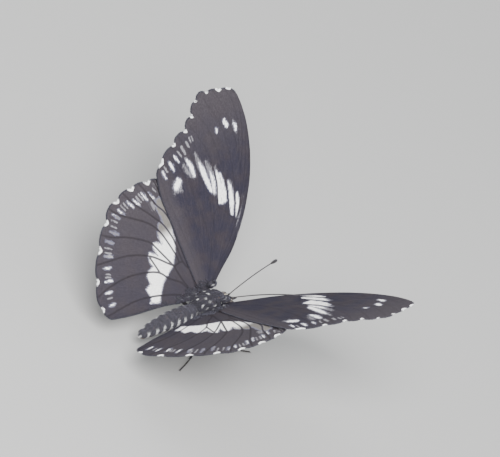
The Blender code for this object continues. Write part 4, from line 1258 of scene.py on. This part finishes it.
def fused(points, faces):
    """Overlapping shells as one smooth skin."""
    item = new_object("shells", new_mesh("shells", points, faces))
    remesh = item.modifiers.new("fuse", "REMESH")
    remesh.mode = "VOXEL"
    remesh.voxel_size = SKIN_VOXEL
    smooth = item.modifiers.new("smooth", "SMOOTH")
    smooth.iterations = SKIN_SMOOTHING
    graph = bpy.context.evaluated_depsgraph_get()
    mesh = bpy.data.meshes.new_from_object(item.evaluated_get(graph))
    item.modifiers.clear()
    bpy.data.objects.remove(item)
    return np.array([v.co for v in mesh.vertices]), [tuple(p.vertices) for p in mesh.polygons]


def body_coat(points, normals):
    """The coat's lie, length and cover at each point of the skin, its marks and its unwrap."""
    forward, left, up = points.T
    level = np.ones(len(points))
    head = smooth_step(forward, *HEAD_SPAN)
    rear = smooth_step(-forward, *REAR_COAT_SPAN)
    regions = np.stack([(1 - rear) * (1 - head), rear, head])
    back_way = np.column_stack([-level, 0.25 * np.sign(left) * np.abs(normals[:, 1]), -0.15 * level])
    front_way = np.column_stack([0.75 * level, 0.1 * left, np.where(up > -4.2, 0.5, -0.4)])
    way = along_skin(back_way * (1 - head[:, None]) + front_way * head[:, None], normals)
    rise = np.radians(COAT_RISE) @ regions
    lie = unit(way * np.cos(rise)[:, None] + normals * np.sin(rise)[:, None])
    length = np.array(COAT_LENGTH) @ regions
    length *= 1 + 0.25 * smooth_step(-forward, 3.0, 4.6) * (1 - rear)
    length *= 1 - 0.35 * smooth_step(forward, 0.0, 2.0)
    cover = level.copy()
    for side in (1, -1):
        gap = (points - on_side(EYE_CENTRE, side)) / (np.array(EYE_HALF) + 0.04)
        cover *= np.linalg.norm(gap, axis=1) > 1
    band = smooth_step(through_segment(forward), 0.72, 0.8) * rear
    band *= smooth_step(np.abs(normals[:, 1]), 0.35, 0.55) * smooth_step(-normals[:, 2], -0.75, -0.45)
    marks = {
        "white": np.maximum(spot_mask(points), 0.55 * band),
        "belly": smooth_step(-normals[:, 2], 0.1, 0.6),
    }
    turn = np.arctan2(left, up + 2.6) / (2 * math.pi) + 0.5
    unwrap = np.column_stack([turn, (forward + BODY_UNWRAP[0]) / BODY_UNWRAP[1]])
    return {"lie": lie, "outward": normals, "length": length, "cover": cover}, marks, unwrap


def build_body(tufts, skin, hair):
    points, faces = fused(*body_shells())
    normals = vertex_normals(points, faces)
    values, marks, unwrap = body_coat(points, normals)
    nodes = ["head", "prothorax", "mesothorax", "metathorax", "abdomen"]
    mesh = new_mesh("body_skin", points, faces)
    finished("body_skin", mesh, skin, nodes, marks)
    middle = np.array([points[list(f), 0].mean() for f in faces])
    for name, low, high, tuft, density, width, stray in BODY_COATS:
        chosen = [f for f, m in zip(faces, middle) if low <= m < high]
        root = emitter(points, chosen, unwrap, **values, **marks)
        sizes = {"Tufts": density, "Width": width, "Unevenness": stray}
        grow(name, root, tufts[tuft], hair, "body_scales", Seed=11, **sizes)


def grow_along(kind, word, shape, sides, axis_way, rise, white, tuft, hair):
    """A coat on a small swept part, running along it and standing some degrees off it."""
    points, faces = shape
    normals = vertex_normals(points, faces)
    way = along_skin(np.array(axis_way), normals)
    lie = unit(way * math.cos(math.radians(rise)) + normals * math.sin(math.radians(rise)))
    rings = (len(points) - 2) // sides
    turn = np.append(np.tile(np.arange(sides) / sides, rings), (0.5, 0.5))
    along = np.append(np.repeat(np.linspace(0, 1, rings), sides), (0.0, 1.0))
    unwrap = np.column_stack([turn, along])
    root = emitter(points, faces, unwrap, lie=lie, outward=normals, white=white)
    grow(f"{kind}_{word}_coat", root, tuft, hair, "body_scales", **COATS[kind])


def build_tegulae(tufts, skin, hair):
    """The scaled pads over the forewings' roots."""
    half = np.array(TEGULA_HALF) - TEGULA_COAT_DEPTH
    for side, word in SIDES:
        pad = ellipsoid(on_side(TEGULA_CENTRE, side), half, 28, 18, roll=side * DIHEDRAL)
        white = spot_mask(pad[0])
        back = (-1.0, side * 0.25, 0.1)
        hand_in("tegula", word, "pad", pad, skin, "body_scales", white=white, belly=0 * white)
        grow_along("tegula", word, pad, 28, back, 16.0, white, tufts["lock"], hair)


def build_eyes(tufts):
    """Domed eyes, each with a rim of pale scales around its inner side."""
    facets = eye_material()
    rim_hair = coat_material("eye_rim_scales", RIM_DARK, RIM_PALE)
    turns = np.linspace(0, 2 * math.pi, 110)[:-1]
    pale = smooth_step(np.sin(turns - 0.6), -0.9, -0.3)
    unwrap = np.column_stack([turns / 7.0, np.full(len(turns), 0.5)])
    ring = math.sqrt(1 - EYE_RIM_INWARD**2)
    for side, word in SIDES:
        centre = on_side(EYE_CENTRE, side)
        hand_in("eye", word, "facets", ellipsoid(centre, EYE_HALF, 64, 40), facets, "eye")
        inward = np.full(len(turns), -EYE_RIM_INWARD * side)
        local = np.column_stack([ring * np.cos(turns), inward, ring * np.sin(turns)])
        roots = centre + local * EYE_HALF * 0.99
        away = unit(local / np.array(EYE_HALF))
        lie = unit(away * (1.0, 0.0, 1.0) + (-0.7, -0.5 * side, 0.0))
        root = emitter(roots, [], unwrap, lie=lie, outward=away, white=pale)
        grow(f"eye_{word}_rim", root, tufts["scale"], rim_hair, "body_scales", **COATS["eye_rim"])


def build_antennae(material):
    """Ringed feelers that swell into a long club."""
    share = np.linspace(0, 1, ANTENNA_RINGS * 5)
    path = np.array(ANTENNA_ROOT) + share[:, None] * ANTENNA_REACH
    path[:, 2] += 4 * ANTENNA_BOW * share * (1 - share)
    club = np.clip((share - CLUB_START) / (1 - CLUB_START), 0, 1)
    swell = np.sin(math.pi * np.minimum(club * 0.82, 0.82)) ** 1.2
    radius = ANTENNA_RADIUS + (CLUB_RADIUS - ANTENNA_RADIUS) * swell
    radius *= np.where(club > 0.85, np.sqrt(np.clip((1 - club) / 0.15, 0.02, 1)), 1.0)
    joint = np.mod(share * ANTENNA_RINGS, 1.0)
    radius *= 1 + 0.10 * np.sin(math.pi * joint)
    # The two thicker joints at the root.
    radius += 0.17 * np.exp(-((share * 90) ** 2)) + 0.06 * np.exp(-(((share - 0.018) * 160) ** 2))
    ring = np.where(joint < 0.25, 0.5, 0.0) * (1 - 0.6 * club) + 0.3 * smooth_step(club, 0.75, 1.0)
    rings = np.append(np.repeat(ring, 12), (0.0, 0.4))
    for side, word in SIDES:
        shape = sweep(on_side(path, side), radius, 12)
        hand_in("antenna", word, "rings", shape, material, "horn", ring=rings)


def build_palps(tufts, skin, hair):
    """The two palps in front of the face, pale outside and below."""
    path = smooth_curve(PALP_KNOTS, 0.15)
    share = np.linspace(0, 1, len(path))
    radius = PALP_RADIUS * (1 - 0.15 * share) - 0.1 * smooth_step(share, 0.6, 0.75)
    radius *= np.sqrt(np.clip((1 - share) / 0.12, 0.05, 1))
    for side, word in SIDES:
        palp = sweep(on_side(path, side), radius, 14)
        forward, normals = palp[0][:, 0], vertex_normals(*palp)
        pale = 0.7 * smooth_step(normals[:, 1] * side, 0.1, 0.7) * smooth_step(-forward, -8.6, -7.4)
        pale = np.maximum(pale, 0.8 * smooth_step(-normals[:, 2], 0.3, 0.8))
        hand_in("palp", word, "core", palp, skin, "body_scales", white=pale, belly=0 * pale)
        grow_along("palp", word, palp, 14, (1.0, 0.0, 0.05), 20.0, pale, tufts["scale"], hair)


def build_proboscis(material):
    """The coiled tongue, ribbed across."""
    start = math.radians(105)
    hub = np.array(PROBOSCIS_ROOT) - (COIL_RADIUS * math.cos(start), 0.0, COIL_RADIUS * math.sin(start))
    turn = np.linspace(0, COIL_TURNS, 420)
    reach = COIL_RADIUS - COIL_STEP * turn
    angle = start - 2 * math.pi * turn
    path = hub + np.column_stack([reach * np.cos(angle), 0 * turn, reach * np.sin(angle)])
    ribs = 0.5 + 0.5 * np.cos(2 * math.pi * np.arange(len(turn)) / 3)
    radius = (PROBOSCIS_RADIUS - 0.03 * turn) * (1 - 0.07 * ribs)
    points, faces = sweep(path, np.column_stack([radius, radius * 0.85]), 12, across=(0.0, 1.0, 0.0))
    rings = np.append(np.repeat(0.8 * ribs, 12), (0.0, 0.0))
    mesh = new_mesh("proboscis", points, faces)
    finished("proboscis_coil", mesh, material, ["proboscis"], {"ring": rings})


def from_floor(left, forward, height, side):
    """The body-frame place of a point over the floor."""
    place = Vector((side * left, -forward - HINGES_AHEAD, height)) * MM
    return np.array(TO_WORLD.inverted() @ place)


def spindle(a, b, radii, sides=12, rows=14):
    """A closed limb segment between two points, with radii spaced evenly along it."""
    share = np.linspace(0, 1, rows)
    radius = np.interp(share, np.linspace(0, 1, len(radii)), radii)
    radius *= np.sqrt(np.clip(np.minimum(share, 1 - share) / 0.06, 0.15, 1))
    return sweep(a + share[:, None] * (b - a), radius, sides)


def leg_shells(plan, side):
    """Femur, tibia, five tarsal segments and two claws, each a closed shell set into the next."""
    hip = on_side(plan["hip"], side)
    knee, ankle = (from_floor(*plan[k], side) for k in ("knee", "ankle"))
    claw = from_floor(*plan["claw"], TARSUS_HEIGHT, side)
    heel_floor = np.array(plan["ankle"][:2]) + HEEL_SHARE * (np.array(plan["claw"]) - plan["ankle"][:2])
    heel = from_floor(*heel_floor, TARSUS_HEIGHT, side)
    shells = [spindle(hip, knee, FEMUR, rows=22), spindle(knee, ankle, TIBIA, rows=22)]
    path = np.vstack([ankle, heel + 0.15 * (claw - heel), claw])
    lengths = np.append(0, np.cumsum(np.linalg.norm(np.diff(path, axis=0), axis=1)))
    at = np.append(0, np.cumsum(TARSOMERES)) * lengths[-1]
    spots = np.column_stack([np.interp(at, lengths, path[:, i]) for i in range(3)])
    for a, b in zip(spots[:-1], spots[1:]):
        shells.append(spindle(a, b + 0.06 * (b - a), TARSOMERE_RADII, 10, 9))
    ahead = unit(claw - heel)
    up = np.array((0.0, 0.0, 1.0))
    for spread in (-0.35, 0.35):
        aside = unit(np.cross(ahead, up)) * spread
        tip = claw + 0.3 * ahead + 0.9 * aside - 0.12 * up
        path = smooth_curve([claw - 0.1 * ahead, claw + 0.16 * ahead + 0.5 * aside, tip], 0.06)
        shells.append(sweep(path, np.linspace(0.06, 0.015, len(path)), 6))
    return shells


def above_floor(points):
    """Body-frame points with none lower than the floor."""
    world = np.array([TO_WORLD @ Vector(p) for p in points])
    world[:, 2] = np.maximum(world[:, 2], 0.0)
    back = TO_WORLD.inverted()
    return np.array([back @ Vector(p) for p in world])


def build_legs(tufts, skin, hair):
    """Four walking legs with flat scales, and two short folded forelegs with hair."""
    horn = horn_material("leg_scales", LEG_DARK, LEG_PALE)
    for side, word in SIDES:
        for pair, plan in LEGS.items():
            shells = leg_shells(plan, side)
            points, faces = joined(shells)
            leg = (above_floor(points), faces)
            ring = 0.6 * smooth_step(-vertex_normals(*leg)[:, 2], 0.2, 0.9)
            hand_in(f"{pair}leg", word, "horn", leg, horn, "horn", ring=ring)
            points, faces = joined(shells[:2])
            normals = vertex_normals(points, faces)
            tip = from_floor(*plan["claw"], TARSUS_HEIGHT, side)
            lie = unit(along_skin(unit(tip - points), normals) + 0.35 * normals)
            white = 0.75 * smooth_step(-normals[:, 2], 0.35, 0.85)
            steps = np.arange(len(points))
            unwrap = np.column_stack([steps % 12 / 12.0, steps / len(steps)])
            root = emitter(points, faces, unwrap, lie=lie, outward=normals, white=white)
            grow(f"{pair}leg_{word}_coat", root, tufts["scale"], hair, "horn", **COATS["walking_leg"])
        path = on_side(smooth_curve(FORELEG_KNOTS, 0.15), side)
        share = np.linspace(0, 1, len(path))
        foreleg = sweep(path, FORELEG_RADIUS * np.sqrt(np.clip((1 - share) / 0.3, 0.1, 1)), 12)
        white = spot_mask(foreleg[0])
        hand_in("foreleg", word, "core", foreleg, skin, "body_scales", white=0 * white, belly=0 * white + 0.5)
        grow_along("foreleg", word, foreleg, 12, (0.7, 0.0, -0.5), 32.0, white, tufts["lock"], hair)


def make_tufts():
    """The shapes that the coats repeat: length, bend, yaw, lean, flatness and widths of each blade."""
    hair = (1.0, 0.75, 0.45)
    shapes = {
        "lock": (
            (1.0, 3.0, 0.0, 0.0, 1.0, hair),
            (0.86, 2.0, 0.5, 2.2, 1.0, hair),
            (0.78, 2.0, -0.5, -2.0, 1.0, hair),
        ),
        "scale": (
            (1.0, 1.2, 0.0, 0.0, 0.3, (0.8, 1.2, 0.9)),
            (0.8, 1.0, 0.3, 0.9, 0.3, (0.7, 1.0, 0.7)),
        ),
        "vane": ((1.0, 0.3, 0.0, 0.0, 0.3, (0.9, 1.3, 1.0)),),
    }
    return {name: new_tuft(name, blades) for name, blades in shapes.items()}


make_camera()
make_stage()
for name, light in LIGHTS.items():
    area_light(name, *light)
TREES = {"skin": coat_tree(along_edge=False), "edge": coat_tree(along_edge=True)}
tufts = make_tufts()
hair = coat_material("coat_hair", DARK_HAIR, WHITE_HAIR, BELLY_HAIR, root_shade=0.65)
skin = skin_material()
build_wings(tufts, hair)
build_body(tufts, skin, hair)
build_tegulae(tufts, skin, hair)
build_eyes(tufts)
build_antennae(horn_material("antenna_horn", ANTENNA_DARK, ANTENNA_PALE))
build_palps(tufts, skin, hair)
build_proboscis(horn_material("proboscis_horn", TONGUE_DARK, TONGUE_PALE))
build_legs(tufts, skin, hair)
for shape in tufts.values():
    bpy.data.objects.remove(shape)
